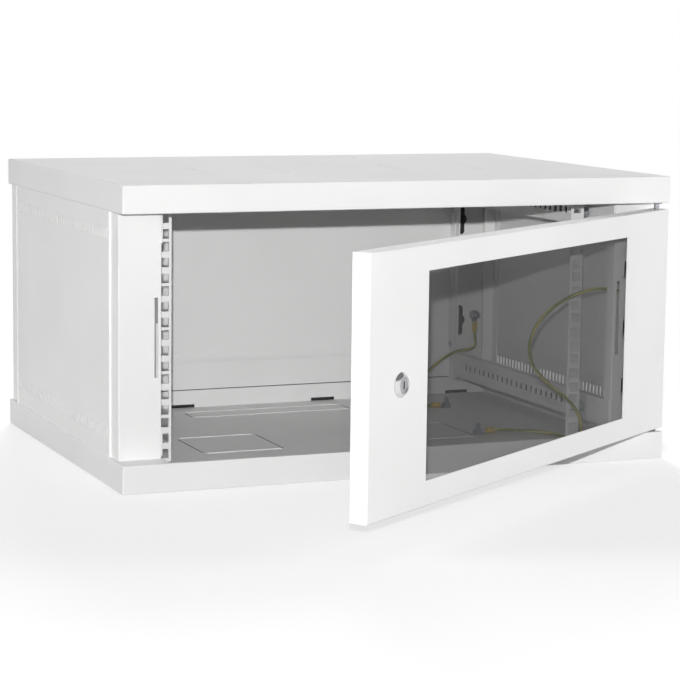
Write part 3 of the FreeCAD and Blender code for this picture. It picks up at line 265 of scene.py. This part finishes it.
def moulded(name, look, roughness, relief):
    # pores or tool marks of a moulded piece
    material, bench = newFinish(name)
    spot = bench.place()
    pore = bench.node("TexVoronoi", {}, {"Vector": spot, "Scale": 1 / look["pore"]})
    bloom = bench.noise(spot, 0.01, 3.0)
    tone = bloom.rise(0.35, 0.7).blend(look["dark"], look["light"])
    bump = bench.node("Bump", {}, {"Strength": 0.7, "Distance": relief, "Height": pore})
    surface(bench, {"Base Color": tone, "Roughness": roughness + (bloom - 0.5) * 0.15, "Normal": bump})
    return material


sheathLook = {"green": colour(0.19, 0.25, 0.08), "yellow": colour(0.52, 0.45, 0.15),
              "dirt": colour(0.19, 0.19, 0.11), "roughness": 0.42}
sleeveLook = {"light": colour(0.66, 0.48, 0.12), "dark": colour(0.52, 0.36, 0.08), "pore": 0.0008}


def leadSheath(name, look):
    # two yellow stripes on green; the lead's own attribute holds the cosine and sine of the way round it
    material, bench = newFinish(name)
    way = bench.node("Attribute", {"attribute_name": "wayRound"}, {}, "Vector")
    across = bench.node("SeparateXYZ", {}, {0: way}, 0)
    spot = bench.place()
    smear = bench.noise(spot, 0.006, 3.0)
    stripe = (across * across * 2 - 1 + (smear - 0.5) * 0.3).rise(-0.05, 0.2)
    tone = stripe.blend(look["green"], look["yellow"])
    tone = (bench.noise(spot, 0.02, 4.0, 0.6).rise(0.55, 0.8) * 0.35).blend(tone, look["dirt"])
    grain = bench.noise(spot, 0.0005, 2.0)
    bump = bench.node("Bump", {}, {"Strength": 0.5, "Distance": 0.00003, "Height": grain})
    surface(bench, {"Base Color": tone, "Normal": bump, "Roughness": look["roughness"] + (smear - 0.5) * 0.2})
    return material


finishes = {
    "casing_paint": powderCoat("casingPaint", casingLook),
    "rail_paint": powderCoat("railPaint", railLook),
    "zinc": plating("zincPlate", zincLook),
    "spring_steel": plating("springWire", springLook),
    "lock_chrome": plating("lockPlate", chromeLook, turnedLook),
    "tinned_copper": plating("tinnedLug", tinLook),
    "smoked_glass": smokedGlass("smokedGlass", glassLook),
    "seal_rubber": moulded("sealFoam", rubberLook, 0.82, 0.0002),
    "bush_plastic": moulded("bushNylon", nylonLook, 0.48, 0.00003),
    "sleeve_vinyl": moulded("sleeveVinyl", sleeveLook, 0.38, 0.00003),
    "lead_sheath": leadSheath("leadSheath", sheathLook),
}
for part in frame["record"]["subparts"]:
    mesh = nodes[part["node"]].data
    mesh.materials.clear()
    mesh.materials.append(finishes[part["material_slot"]])
print("finishes on", len(nodes), "nodes")


# quads between neighbouring rows and columns of a grid whose first vertex has this number
def gridQuads(rows, columns, closeRows, closeColumns, first):
    row = np.arange(rows if closeRows else rows - 1)[:, None]
    column = np.arange(columns if closeColumns else columns - 1)[None, :]
    near, far = row * columns, (row + 1) % rows * columns
    ahead = (column + 1) % columns
    return np.stack([near + column, near + ahead, far + ahead, far + column], axis=-1).reshape(-1, 4) + first


# grids of points as one closed mesh; rows that shrink to a point become poles, and faces turn outwards
def makePiece(name, grids, slot, body, stands, closeRows=False, crease=32):
    first, points, quads = 0, [], []
    for grid in grids:
        rows, columns = grid.shape[:2]
        quads.append(gridQuads(rows, columns, closeRows, True, first))
        points.append(grid.reshape(-1, 3))
        first += rows * columns
    mesh = bpy.data.meshes.new(name)
    mesh.from_pydata(np.concatenate(points).tolist(), [], np.concatenate(quads).tolist())
    work = bmesh.new()
    work.from_mesh(mesh)
    bmesh.ops.remove_doubles(work, verts=work.verts, dist=1e-6)
    bmesh.ops.recalc_face_normals(work, faces=work.faces)
    work.to_mesh(mesh)
    work.free()
    mesh.polygons.foreach_set("use_smooth", np.ones(len(mesh.polygons), bool))
    mesh.set_sharp_from_angle(angle=math.radians(crease))
    mesh.materials.append(finishes[slot])
    piece = bpy.data.objects.new(name, mesh)
    scene.collection.objects.link(piece)
    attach(piece, body)
    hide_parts(*stands)
    return piece


# a local grid carried to a seat: columns of the frame are the local X, Y and Z axes
def seatFrame(origin, along, off):
    along, off = np.array(along, float), np.array(off, float)
    return np.array(origin, float), np.stack([along, np.cross(off, along), off])


def carry(grid, seat):
    origin, axes = seat
    return (grid @ axes + origin) * mm


# points on the shut door, turned with it about the hinge axis
doorLook = {"hinge": (290.0, -205.0), "angle": 34.94}


def doorSeat(across, depth, height):
    turn = math.radians(doorLook["angle"])
    along = np.array([math.cos(turn), math.sin(turn), 0.0])
    inwards = np.array([-math.sin(turn), math.cos(turn), 0.0])
    hinge = np.array([*doorLook["hinge"], 0.0])
    return seatFrame(hinge + along * across + inwards * depth + np.array([0, 0, height]), along, inwards)


# earth leads: the route from lug to lug, mm, as control points of one smooth spline
rearLead = {
    "route": [(283, 210, 86), (283, 210, 77), (282.5, 206, 69.5), (278.5, 199.5, 65), (270.5, 193.5, 63),
              (259.5, 188.5, 62.8), (247, 185, 62.4), (234, 182, 58.5), (220, 178.8, 51.5),
              (206.5, 175, 42.5), (193, 168.5, 32), (180.5, 160, 22.5), (170, 149, 14.2),
              (164.5, 137.5, 9.5), (165, 127.5, 8.2),
              (171.5, 121.6, 8.5), (179, 121, 9.2), (188, 121, 9.2)],
    "radius": 1.8, "length": 0.209, "twist": 0.11,
}
sideLead = {
    "route": [(290.5, -157, 148), (290.5, -157, 157), (286, -159.5, 166.5), (275.5, -163, 173),
              (261, -165.5, 176.5), (245, -166.2, 178), (227, -164.5, 175.5), (208, -160, 167),
              (190, -156, 154.5), (176, -154, 138),
              (169, -153.5, 118), (172, -154.5, 99), (184, -155.5, 83), (200, -156.5, 70), (216, -158.5, 58),
              (227, -160.5, 44), (232, -160, 30), (233.5, -153, 16.5), (234.5, -139, 9.1), (237, -119, 8.2),
              (237.5, -100, 8.1), (232, -82, 8.1), (222, -68, 8.2), (210, -58.5, 8.1), (198, -53.2, 8.4),
              (186.5, -52, 9.2), (177, -52, 9.2)],
    "radius": 1.8, "length": 0.434, "twist": 0.13,
}


# the line of a spline through these control points, read back from Blender
def routeLine(name, route):
    curve = bpy.data.curves.new(name, "CURVE")
    curve.dimensions = "3D"
    spline = curve.splines.new("NURBS")
    spline.points.add(len(route) - 1)
    spline.points.foreach_set("co", np.c_[np.array(route) * mm, np.ones(len(route))].ravel())
    spline.order_u = 3
    spline.use_endpoint_u = True
    spline.resolution_u = 8
    guide = bpy.data.objects.new(name, curve)
    scene.collection.objects.link(guide)
    line = bpy.data.meshes.new_from_object(guide)
    points = np.empty(len(line.vertices) * 3)
    line.vertices.foreach_get("co", points)
    bpy.data.objects.remove(guide)
    bpy.data.meshes.remove(line)
    return points.reshape(-1, 3)


# a round tube: each station's ring is centre + radius (cos a n + sin a b), with n and b turned
# from station to station by the angle that keeps them from spinning about the line
def leadTube(name, look, stands, steps=14):
    line = routeLine(name + "Route", look["route"])
    tangent = np.gradient(line, axis=0)
    tangent /= np.linalg.norm(tangent, axis=1)[:, None]
    n = np.cross(tangent, (0.31, 0.87, 0.39))
    n /= np.linalg.norm(n, axis=1)[:, None]
    b = np.cross(tangent, n)
    spin = np.arctan2((n[:-1] * b[1:]).sum(1), (n[:-1] * n[1:]).sum(1))
    lead = np.r_[0, np.cumsum(spin)]
    run = np.r_[0, np.cumsum(np.linalg.norm(np.diff(line, axis=0), axis=1))]
    way = np.linspace(0, 2 * np.pi, steps, endpoint=False)
    angle = lead[:, None] + way[None, :]
    ring = np.cos(angle)[..., None] * n[:, None] + np.sin(angle)[..., None] * b[:, None]
    grid = line[:, None] + look["radius"] * mm * ring
    ends = [np.repeat(line[[i]][:, None], steps, axis=1) for i in (0, -1)]
    closed = np.concatenate([ends[0], grid, ends[1]])
    piece = makePiece(name, [closed], "lead_sheath", "casing", stands, crease=60)
    spots = np.empty(len(piece.data.vertices) * 3)
    piece.data.vertices.foreach_get("co", spots)
    spots = spots.reshape(-1, 3)
    nearest = ((spots[:, None] - line[None]) ** 2).sum(-1).argmin(1)
    off = spots - line[nearest]
    phase = np.arctan2((off * b[nearest]).sum(1), (off * n[nearest]).sum(1)) - lead[nearest]
    phase = phase + 2 * np.pi * run[nearest] / look["twist"]
    store = piece.data.attributes.new("wayRound", "FLOAT_VECTOR", "POINT")
    store.data.foreach_set("vector", np.c_[np.cos(phase), np.sin(phase), run[nearest]].ravel())
    return piece


# insulated sleeve of a lug: a tube with a bell at the lead's end and a crimp that flattens it,
# r = radius + bell - squeeze cos 2a
sleeveLookSize = {"start": 8.5, "end": 20.0, "axis": 3.5, "radius": 3.15, "bore": 2.7, "bell": 0.05,
                  "squeeze": 0.38}
lugSeats = {
    "rear": [((283, 213.5, 102), (0, 0, -1), (0, -1, 0)), ((204, 121, 5.7), (-1, 0, 0), (0, 0, 1))],
    "side": [((294, -157, 132), (0, 0, 1), (-1, 0, 0)), ((161, -52, 5.7), (1, 0, 0), (0, 0, 1))],
}


def sleeveGrid(look, seat, steps=36):
    share = np.r_[np.linspace(0, 1, 30), np.linspace(1, 0, 12)]
    outer = np.r_[np.ones(30, bool), np.zeros(12, bool)]
    a = np.linspace(0, 2 * np.pi, steps, endpoint=False)[None, :]
    crimp = np.exp(-((share - 0.36) / 0.11) ** 2)[:, None]
    rim = np.minimum(1, np.minimum(share, 1 - share) * 22)[:, None] ** 0.5
    body = look["radius"] - 0.12 * (1 - rim) + look["bell"] * (share[:, None] > 0.9)
    radius = np.where(outer[:, None], body, look["bore"])
    squeeze = look["squeeze"] * crimp * np.where(outer[:, None], 1.0, 0.0)
    radius = radius - squeeze * (0.5 + 0.5 * np.cos(2 * a))
    along = look["start"] + share[:, None] * (look["end"] - look["start"]) + 0 * a
    grid = np.stack([along, radius * np.cos(a), look["axis"] + radius * np.sin(a)], axis=-1)
    return carry(grid, seatFrame(*seat))


for hand, seats in lugSeats.items():
    grids = [sleeveGrid(sleeveLookSize, seat) for seat in seats]
    makePiece(f"lugSleeves.{hand}", grids, "sleeve_vinyl", "casing",
                              [f"earth_sleeves_{hand}"], closeRows=True, crease=50)
leadTube("earthLead.rear", rearLead, ["earth_lead_rear"])
leadTube("earthLead.side", sideLead, ["earth_lead_side"])
print("earth leads laid")


# hexagon nut about Z: r = min(profile, apothem / cos(a mod 60 - 30)), so the end cones cut the flats in arcs
def nutGrid(corner, height, bore, seat, low=0.0, steps=72):
    a = np.linspace(0, 2 * np.pi, steps, endpoint=False)
    apothem = corner * math.cos(math.pi / 6)
    flat = apothem / np.cos((a % (math.pi / 3)) - math.pi / 6)
    cone = np.linspace(0.94 * apothem, corner * 1.001, 6)
    drop = (cone - cone[0]) * math.tan(math.pi / 6)
    sink = 0.12 * bore
    radius = np.r_[bore, bore + sink, cone, cone[::-1], bore + sink, bore]
    level = np.r_[sink, 0, drop, height - drop[::-1], height, height - sink]
    r = np.minimum(radius[:, None], flat[None, :])
    grid = np.stack([r * np.cos(a), r * np.sin(a), low + np.repeat(level[:, None], steps, 1)], axis=-1)
    return carry(grid, seat)


# threaded rod about Z: r = radius - depth tri(z / pitch - a / 2 pi), cut by a cone at its free end
def studGrid(radius, length, pitch, seat, low=0.0, steps=28):
    a = np.linspace(0, 2 * np.pi, steps, endpoint=False)
    z = np.linspace(0, length, int(8 * length / pitch) + 1)
    turn = (z[:, None] / pitch - a[None, :] / (2 * np.pi)) % 1.0
    r = radius - 0.6 * pitch * np.abs(2 * turn - 1) ** 1.3
    r = np.minimum(r, radius - 0.7 * pitch + (length - z[:, None]))
    r = np.concatenate([np.zeros((1, steps)), r, np.zeros((1, steps))])
    z = np.r_[0, z, length]
    grid = np.stack([r * np.cos(a), r * np.sin(a), low + np.repeat(z[:, None], steps, 1)], axis=-1)
    return carry(grid, seat)


# pan head about Z with a cross recess: h = height (1 - (r / radius)^4), less the recess where the cross is
def panHeadGrid(radius, height, seat, steps=96):
    a = np.linspace(0, 2 * np.pi, steps, endpoint=False)
    share = np.r_[np.linspace(0, 0.62, 20), np.linspace(0.66, 1.0, 12)]
    r = radius * share[:, None] + 0 * a
    x, y = r * np.cos(a), r * np.sin(a)
    dome = height * (0.35 + 0.65 * (1 - share[:, None] ** 4) ** 0.5) + 0 * a
    arm = np.minimum(np.abs(x), np.abs(y)) / (0.13 * radius)
    reach = np.maximum(np.abs(x), np.abs(y)) / (0.55 * radius)
    inside = np.clip((1.25 - arm) / 0.5, 0, 1) * np.clip((1 - reach) / 0.25, 0, 1)
    top = np.stack([x, y, dome - 0.55 * height * inside], axis=-1)
    rim = np.stack([x[-1:], y[-1:], 0 * x[-1:]], axis=-1)
    foot = np.zeros((1, steps, 3))
    return carry(np.concatenate([top, rim, foot]), seat)


# hexagon head about Z: the nut's form with a closed crown
def hexHeadGrid(corner, height, seat, steps=72):
    a = np.linspace(0, 2 * np.pi, steps, endpoint=False)
    apothem = corner * math.cos(math.pi / 6)
    flat = apothem / np.cos((a % (math.pi / 3)) - math.pi / 6)
    cone = np.linspace(corner * 1.001, 0.9 * apothem, 6)
    drop = (cone - cone[-1]) * math.tan(math.pi / 6)
    radius = np.r_[0, corner, cone, 0.6 * apothem, 0.55 * apothem, 0]
    level = np.r_[0, 0, height - drop, height, height - 0.25, height - 0.25]
    r = np.minimum(radius[:, None], flat[None, :])
    grid = np.stack([r * np.cos(a), r * np.sin(a), np.repeat(level[:, None], steps, 1)], axis=-1)
    return carry(grid, seat)


earthFixing = {"radius": 3.0, "length": 12.0, "pitch": 1.0, "corner": 5.77, "nut": 5.0, "bore": 3.05,
               "lug": 1.0}
allSeats = [seatFrame(*seat) for seats in lugSeats.values() for seat in seats]
makePiece("earthStuds", [studGrid(earthFixing["radius"], earthFixing["length"], earthFixing["pitch"], seat)
                         for seat in allSeats], "zinc", "casing", ["earth_studs"], crease=50)
makePiece("earthNuts", [nutGrid(earthFixing["corner"], earthFixing["nut"], earthFixing["bore"], seat,
                                earthFixing["lug"])
                        for seat in allSeats], "zinc", "casing", ["earth_nuts"], closeRows=True)

clipFixing = {"across": (-513.8, -66.2), "heights": (87.5, 148.25, 209.0), "inside": -8.8, "sheet": 1.2,
              "radius": 2.0, "length": 5.6, "pitch": 0.7, "corner": 4.04, "nut": 3.2, "bore": 2.05}
clipSeats = [doorSeat(across, clipFixing["inside"], height)
             for across in clipFixing["across"] for height in clipFixing["heights"]]
makePiece("clipStuds", [studGrid(clipFixing["radius"], clipFixing["length"], clipFixing["pitch"], seat,
                                  steps=24)
                        for seat in clipSeats], "zinc", "door", ["clip_studs"], crease=50)
makePiece("clipNuts", [nutGrid(clipFixing["corner"], clipFixing["nut"], clipFixing["bore"], seat,
                               clipFixing["sheet"])
                       for seat in clipSeats], "zinc", "door", ["clip_nuts"], closeRows=True)

# rail fixings run across the cabinet, heads inside
railFixing = {"seat": 239.0, "web": 251.5, "depth": -127.0, "heights": (44.5, 255.5), "radius": 2.5,
              "length": 18.0, "pitch": 0.8, "corner": 4.6, "head": 3.5, "nut": 4.0, "bore": 2.55}
heads, shanks, backNuts = [], [], []
for side in (-1, 1):
    for height in railFixing["heights"]:
        inner = seatFrame((side * railFixing["seat"], railFixing["depth"], height), (0, 1, 0), (-side, 0, 0))
        outer = seatFrame((side * railFixing["seat"], railFixing["depth"], height), (0, 1, 0), (side, 0, 0))
        web = seatFrame((side * railFixing["web"], railFixing["depth"], height), (0, 1, 0), (side, 0, 0))
        heads.append(hexHeadGrid(railFixing["corner"], railFixing["head"], inner))
        shanks.append(studGrid(railFixing["radius"], railFixing["length"], railFixing["pitch"], outer,
                               steps=24))
        backNuts.append(nutGrid(railFixing["corner"], railFixing["nut"], railFixing["bore"], web))
makePiece("railBolts", heads + shanks, "zinc", "casing", ["rail_bolts"], crease=40)
makePiece("railNuts", backNuts, "zinc", "casing", ["rail_nuts"], closeRows=True)

panelScrew = {"across": 250.1, "depth": 209.0, "heights": (68.0, 232.0), "radius": 4.0, "head": 2.0,
              "shank": 2.0, "length": 4.9, "pitch": 0.7}
screwParts = []
for side in (-1, 1):
    for height in panelScrew["heights"]:
        spot = (side * panelScrew["across"], panelScrew["depth"], height)
        screwParts.append(panHeadGrid(panelScrew["radius"], panelScrew["head"],
                                      seatFrame(spot, (0, 1, 0), (-side, 0, 0))))
        screwParts.append(studGrid(panelScrew["shank"], panelScrew["length"], panelScrew["pitch"],
                                   seatFrame(spot, (0, 1, 0), (side, 0, 0)), steps=20))
makePiece("rearPanelScrews", screwParts, "zinc", "casing", ["rear_panel_screws"], crease=40)

# dark plugs in the wall keyholes, painted shade where the holes would show through: r = max(hole, slot) -
# slack, where the slot's edge at angle a from
# upright is radius / sin a along its sides and c cos a + sqrt(radius^2 - c^2 sin^2 a) round its ends
keyholeShadeLook = {"across": 264.0, "heights": (96.0, 220.0), "rear": 214.85, "thick": 1.2, "hole": 7.0, "slot": 4.0,
            "long": 37.0, "slack": 0.15, "dish": 0.5}


def keyholeShadeGrid(look, side, height, steps=120):
    a = np.linspace(0, 2 * np.pi, steps, endpoint=False) + 1e-4
    sine, cosine = np.abs(np.sin(a)), np.abs(np.cos(a))
    c = look["long"] / 2 - look["slot"]
    endEdge = c * cosine + np.sqrt(np.maximum(0, look["slot"] ** 2 - (c * sine) ** 2))
    edge = np.where(look["slot"] * cosine <= c * sine, look["slot"] / sine, endEdge)
    edge = np.maximum(look["hole"], edge) - look["slack"]
    share = np.array([0, 0.3, 0.6, 0.8, 0.9, 0.97, 1, 1, 0.97, 0.6, 0])[:, None]
    rim = np.array([0, 0, 0, 0.2, 0.7, 1, 0.9, 0.1, 0, 0, 0])[:, None]
    front = np.arange(len(share))[:, None] < 7
    level = np.where(front, look["thick"] - look["dish"] * (1 - rim), look["thick"] * 0.1 * rim)
    grid = np.stack([side * look["across"] + share * edge * np.sin(a), look["rear"] - level + 0 * a,
                     height + share * edge * np.cos(a)], axis=-1)
    return grid * mm


# painted shade: black plugs fill the keyholes
makePiece("keyholeShadePlugs", [keyholeShadeGrid(keyholeShadeLook, side, height)
                           for side in (-1, 1) for height in keyholeShadeLook["heights"]],
          "seal_rubber", "casing", [], crease=40)


# rounded bar: (half u |cos a|^0.3, half v |sin a|^0.3) carried along its long axis,
# closed by a point at each end
def barGrid(centre, halves, lengthwise, steps=16):
    a = (np.arange(steps) + 0.5) * 2 * np.pi / steps
    way = np.stack([np.cos(a), np.sin(a)], axis=-1)
    ring = np.sign(way) * np.abs(way) ** 0.3
    along = np.array([-1, -1, 1, 1])[:, None, None] + 0 * ring[:, :1]
    local = np.concatenate([along, np.array([0, 1, 1, 0])[:, None, None] * ring], axis=-1)
    order = [0, 1, 2] if lengthwise == "x" else [1, 0, 2]
    return (np.array(centre) + local[..., order] * np.array(halves)) * mm


# base: dark rubber strips in the foot slots and the knock-outs' side slits, painted shade where they would
# show through, a turned-up lip behind their cross slits, and a dark strip under the rear panel's foot, a
# painted shadow line at the joint; knock-outs are (x, y, width, depth)
baseLook = {"slots": (-271.1, -93.7, 83.7, 261.1), "slotLevel": 7.7, "slotDepth": 214.25,
            "slotHalves": (14.8, 0.5, 1.85),
            "knockouts": ((-118.4, -19.5, 90, 91), (108.4, -19.5, 90, 91), (-5, 164.5, 195, 33)),
            "floor": 5.7, "slit": 2.0, "web": 3.0, "lip": 0.35, "footShadeLine": (0, 210.55, 27.6),
            "footHalves": (249.0, 0.3, 0.55)}


def slitHalf(length):
    return length / 2 - baseLook["web"] - 0.2


# painted shade: dark strips fill the foot slots and the knock-outs' side slits
slotShadeFills = [barGrid((x, baseLook["slotDepth"], baseLook["slotLevel"]), baseLook["slotHalves"], "x")
             for x in baseLook["slots"]]
slitShades, crossLips = [], []
for x, y, width, depth in baseLook["knockouts"]:
    for side in (-1, 1):
        slitShades.append(barGrid((x + side * width / 2, y, baseLook["floor"] - 0.75),
                                 (0.43 * baseLook["slit"], slitHalf(depth), 0.6), "y"))
        lipDepth = y + side * depth / 2 + baseLook["slit"] / 2 + baseLook["lip"]
        crossLips.append(barGrid((x, lipDepth, baseLook["floor"] + 0.2),
                                 (slitHalf(width), baseLook["lip"], 0.4), "x"))
makePiece("footSlotShadeFills", slotShadeFills, "seal_rubber", "casing", [])
makePiece("knockoutSlitShades", slitShades, "seal_rubber", "casing", [])
makePiece("knockoutLips", crossLips, "casing_paint", "casing", [])
# dark strips on the back of the depth rails' webs, painted shade seen through the web slots
railShadeLook = {"across": 252.2, "depth": 38.5, "heights": (44.5, 255.5), "halves": (0.5, 156.0, 5.5)}
railShadeStrips = [barGrid((side * railShadeLook["across"], railShadeLook["depth"], height), railShadeLook["halves"], "y")
             for side in (-1, 1) for height in railShadeLook["heights"]]
makePiece("railShadeStrips", railShadeStrips, "seal_rubber", "casing", [])
# painted shadow: a dark strip along the joint under the rear panel's foot
makePiece("panelFootShadeLine", [barGrid(baseLook["footShadeLine"], baseLook["footHalves"], "x")],
          "seal_rubber", "casing", [])

# lock fixings behind the door
lockFixing = {"across": -536.5, "height": 146.35, "inside": -8.8, "corner": 13.3, "nut": 5.0, "bore": 9.55,
              "camBack": 22.5, "screwHead": 4.4, "screwHeight": 2.4}
headLook = {"radius": (6.0, 6.0, 6.3, 6.75, 6.85, 7.15, 7.25, 7.85, 8.1, 11.2, 11.3, 11.3, 11.2, 9.5),
            "level": (10.0, -13.3, -13.6, -13.6, -13.3, -13.3, -13.6, -13.6, -13.5, -10.65, -10.5,
                      -10.05, -10.0, -10.0),
            "thread": (-9.9, 9.6), "shank": 9.5, "pitch": 1.0}


# lock head and shank about Z: a profile turned round the axis,
# then r = shank - depth tri(z / pitch - a / 2 pi)
def lockGrid(look, seat, steps=96):
    a = np.linspace(0, 2 * np.pi, steps, endpoint=False)
    z = np.linspace(*look["thread"], 120)
    turn = (z[:, None] / look["pitch"] - a[None, :] / (2 * np.pi)) % 1.0
    r = np.concatenate([np.array(look["radius"])[:, None] + 0 * a,
                        look["shank"] - 0.5 * np.abs(2 * turn - 1) ** 1.3,
                        np.full((1, steps), look["shank"] - 0.6)])
    level = np.r_[look["level"], z, look["level"][0]]
    return carry(np.stack([r * np.cos(a), r * np.sin(a), np.repeat(level[:, None], steps, 1)], axis=-1), seat)


makePiece("lockHead", [lockGrid(headLook, doorSeat(lockFixing["across"], 0.0, lockFixing["height"]))],
          "lock_chrome", "door", ["lock_housing"], closeRows=True, crease=25)
makePiece("lockNut", [nutGrid(lockFixing["corner"], lockFixing["nut"], lockFixing["bore"],
                              doorSeat(lockFixing["across"], lockFixing["inside"], lockFixing["height"]))],
          "zinc", "door", ["lock_nut"], closeRows=True)
makePiece("camScrew", [panHeadGrid(lockFixing["screwHead"], lockFixing["screwHeight"],
                                   doorSeat(lockFixing["across"], lockFixing["camBack"],
                                            lockFixing["height"]))],
          "zinc", "lock", ["cam_screw"], crease=40)

# pin spring: a round wire on the helix (R cos a, R sin a, low + H (s - 0.8 sin(2 pi s) / 2 pi)),
# s = a / (2 pi turns), so that its end coils lie close
springShape = {"axis": (290.0, -205.0), "low": 229.8, "high": 252.7, "radius": 4.3, "wire": 0.5,
               "turns": 6, "travel": 8.0}


def springGrid(look, stations=240, steps=12):
    s = np.linspace(0, 1, stations)[:, None]
    a = 2 * np.pi * look["turns"] * s
    b = np.linspace(0, 2 * np.pi, steps, endpoint=False)[None, :]
    wire = look["wire"] * np.r_[0, np.ones(stations - 2), 0][:, None]
    reach = look["radius"] + wire * np.cos(b)
    lift = look["low"] + (look["high"] - look["low"]) * (s - 0.8 * np.sin(2 * np.pi * s) / (2 * np.pi))
    x, y = look["axis"][0] + reach * np.cos(a), look["axis"][1] + reach * np.sin(a)
    return np.stack([x, y, lift + wire * np.sin(b)], axis=-1) * mm


pinSpring = makePiece("pinSpring", [springGrid(springShape)], "spring_steel", "door", ["hinge_spring"],
                      crease=60)
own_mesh(pinSpring)
print("fixings made")

# floor, lamps and sky; a lamp's share is the part of a surface's own colour that it gives back where it aims
flashLook = {"place": (-0.963, -2.311, 0.557), "size": 0.02, "aim": (0.0, 0.21, 0.15), "share": 0.6}
glintLook = {**flashLook, "share": 0.02}
softLook = {"place": (-2.2, -0.1, 0.9), "size": 1.2, "aim": (-0.3, 0.0, 0.15), "share": 0.51}
fillLook = {"place": (1.9, -1.2, 0.62), "size": 1.2, "aim": (0.1, -0.35, 0.15), "share": 0.66}
backLook = {"place": (0.8, 2.4, 1.5), "size": 1.2, "aim": (0.0, 0.1, 0.2), "share": 1.12}
skyLook = {"strength": 0.03, "ceiling": 0.22, "low": 0.34, "high": 0.56}
# shade is the grey of the painted shadow under and behind the cabinet; near, lean, half, edge and gone place
# it
floorLook = {"level": -0.0005, "cells": 9, "paint": 0.20, "glow": 0.62, "share": 0.40, "clear": (0.55, 1.15),
             "reach": 12.0, "shade": 0.36, "lean": 0.4186, "half": 0.33, "edge": 0.06, "near": -0.215,
             "gone": (0.25, 0.62)}


# a soft lamp's light doesn't fall off with distance, so that near and far ends of a face are lit alike
def lamp(name, look, even=True, mirrored=True):
    away = np.array(look["place"]) - np.array(look["aim"])
    data = bpy.data.lights.new(name, "AREA")
    data.shape = "DISK"
    data.size = look["size"]
    data.energy = look["share"] * math.pi ** 2 * (1.0 if even else float(away @ away))
    if even:
        data.use_nodes = True
        data.node_tree.nodes.clear()
        bench = Wire(data.node_tree)
        steady = bench.node("LightFalloff", {}, {"Strength": 1.0}, "Constant")
        bench.node("OutputLight", {}, {"Surface": bench.node("Emission", {}, {"Strength": steady})})
    lampObject = bpy.data.objects.new(name, data)
    turn = Vector(away).to_track_quat("Z", "Y").to_matrix().to_4x4()
    lampObject.matrix_world = Matrix.Translation(look["place"]) @ turn
    lampObject.visible_glossy = mirrored
    scene.collection.objects.link(lampObject)


def seenRay(bench):
    kinds = ("Camera", "Glossy", "Transmission")
    return sum(bench.node("LightPath", {}, {}, f"Is {kind} Ray") for kind in kinds)


# a pale studio: white round the horizon, a dim ceiling that only reflections show
def setSky(look):
    world = bpy.data.worlds.new("studio")
    world.use_nodes = True
    world.node_tree.nodes.clear()
    scene.world = world
    bench = Wire(world.node_tree)
    height = bench.node("SeparateXYZ", {}, {0: bench.node("TexCoord", {}, {}, "Generated")}, 2)
    mirrored = bench.node("LightPath", {}, {}, "Is Glossy Ray")
    ceiling = height.rise(look["low"], look["high"]) * mirrored * (1 - look["ceiling"])
    dim = bench.node("Background", {}, {"Color": colour(1, 1, 1), "Strength": look["strength"]})
    white = bench.node("Background", {}, {"Color": colour(1, 1, 1), "Strength": 1 - ceiling})
    shown = bench.node("MixShader", {}, {0: seenRay(bench), 1: dim, 2: white})
    bench.node("OutputWorld", {}, {"Surface": shown})


# white all round with the object's own shadow kept near it,
# and a darker grey paint under it and where the flash's shadow falls: a painted shadow
def setFloor(look):
    material, bench = newFinish("paleFloor")
    spot = bench.place()
    x, y = (bench.node("SeparateXYZ", {}, {0: spot}, axis) for axis in (0, 1))
    apart = bench.node("VectorMath", {"operation": "LENGTH"}, {0: spot}, "Value")
    far = apart.rise(*look["clear"])
    aside = bench.node("Math", {"operation": "ABSOLUTE"}, {0: x - (y - look["near"]) * look["lean"]})
    within = 1 - aside.rise(look["half"] - look["edge"], look["half"])
    # painted shadow: in this patch the floor loses its glow and shows the shade grey
    behind = within * (y - look["near"]).rise(0, look["edge"]) * (1 - y.rise(*look["gone"]))
    grey = lambda value: bench.node("BsdfDiffuse", {}, {"Color": colour(value, value, value)})
    light = lambda value: bench.node("Emission", {}, {"Color": colour(1, 1, 1), "Strength": value})
    close = bench.node("AddShader", {}, {0: grey(look["share"]), 1: light(look["glow"])})
    shown = bench.node("MixShader", {}, {0: far, 1: close, 2: light(1.0)})
    shown = bench.node("MixShader", {}, {0: behind, 1: shown, 2: grey(look["shade"])})
    seen = bench.node("MixShader", {}, {0: seenRay(bench), 1: grey(look["paint"]), 2: shown})
    bench.node("OutputMaterial", {}, {"Surface": seen})
    # a flat square: (u, v) -> (u reach, v reach, level)
    cells = look["cells"]
    side = np.linspace(-look["reach"], look["reach"], cells)
    grid = np.stack([*np.meshgrid(side, side), np.full((cells, cells), look["level"])], axis=-1)
    mesh = bpy.data.meshes.new("floor")
    mesh.from_pydata(grid.reshape(-1, 3).tolist(), [], gridQuads(cells, cells, False, False, 0).tolist())
    mesh.materials.append(material)
    floor = bpy.data.objects.new("floor", mesh)
    scene.collection.objects.link(floor)


lamp("flash", flashLook, even=False, mirrored=False)
lamp("glint", glintLook, even=False)
lamp("softBox", softLook, mirrored=False)
lamp("fillBox", fillLook, even=False, mirrored=False)
lamp("backBox", backLook, mirrored=False)
setSky(skyLook)
setFloor(floorLook)
print("stage set")
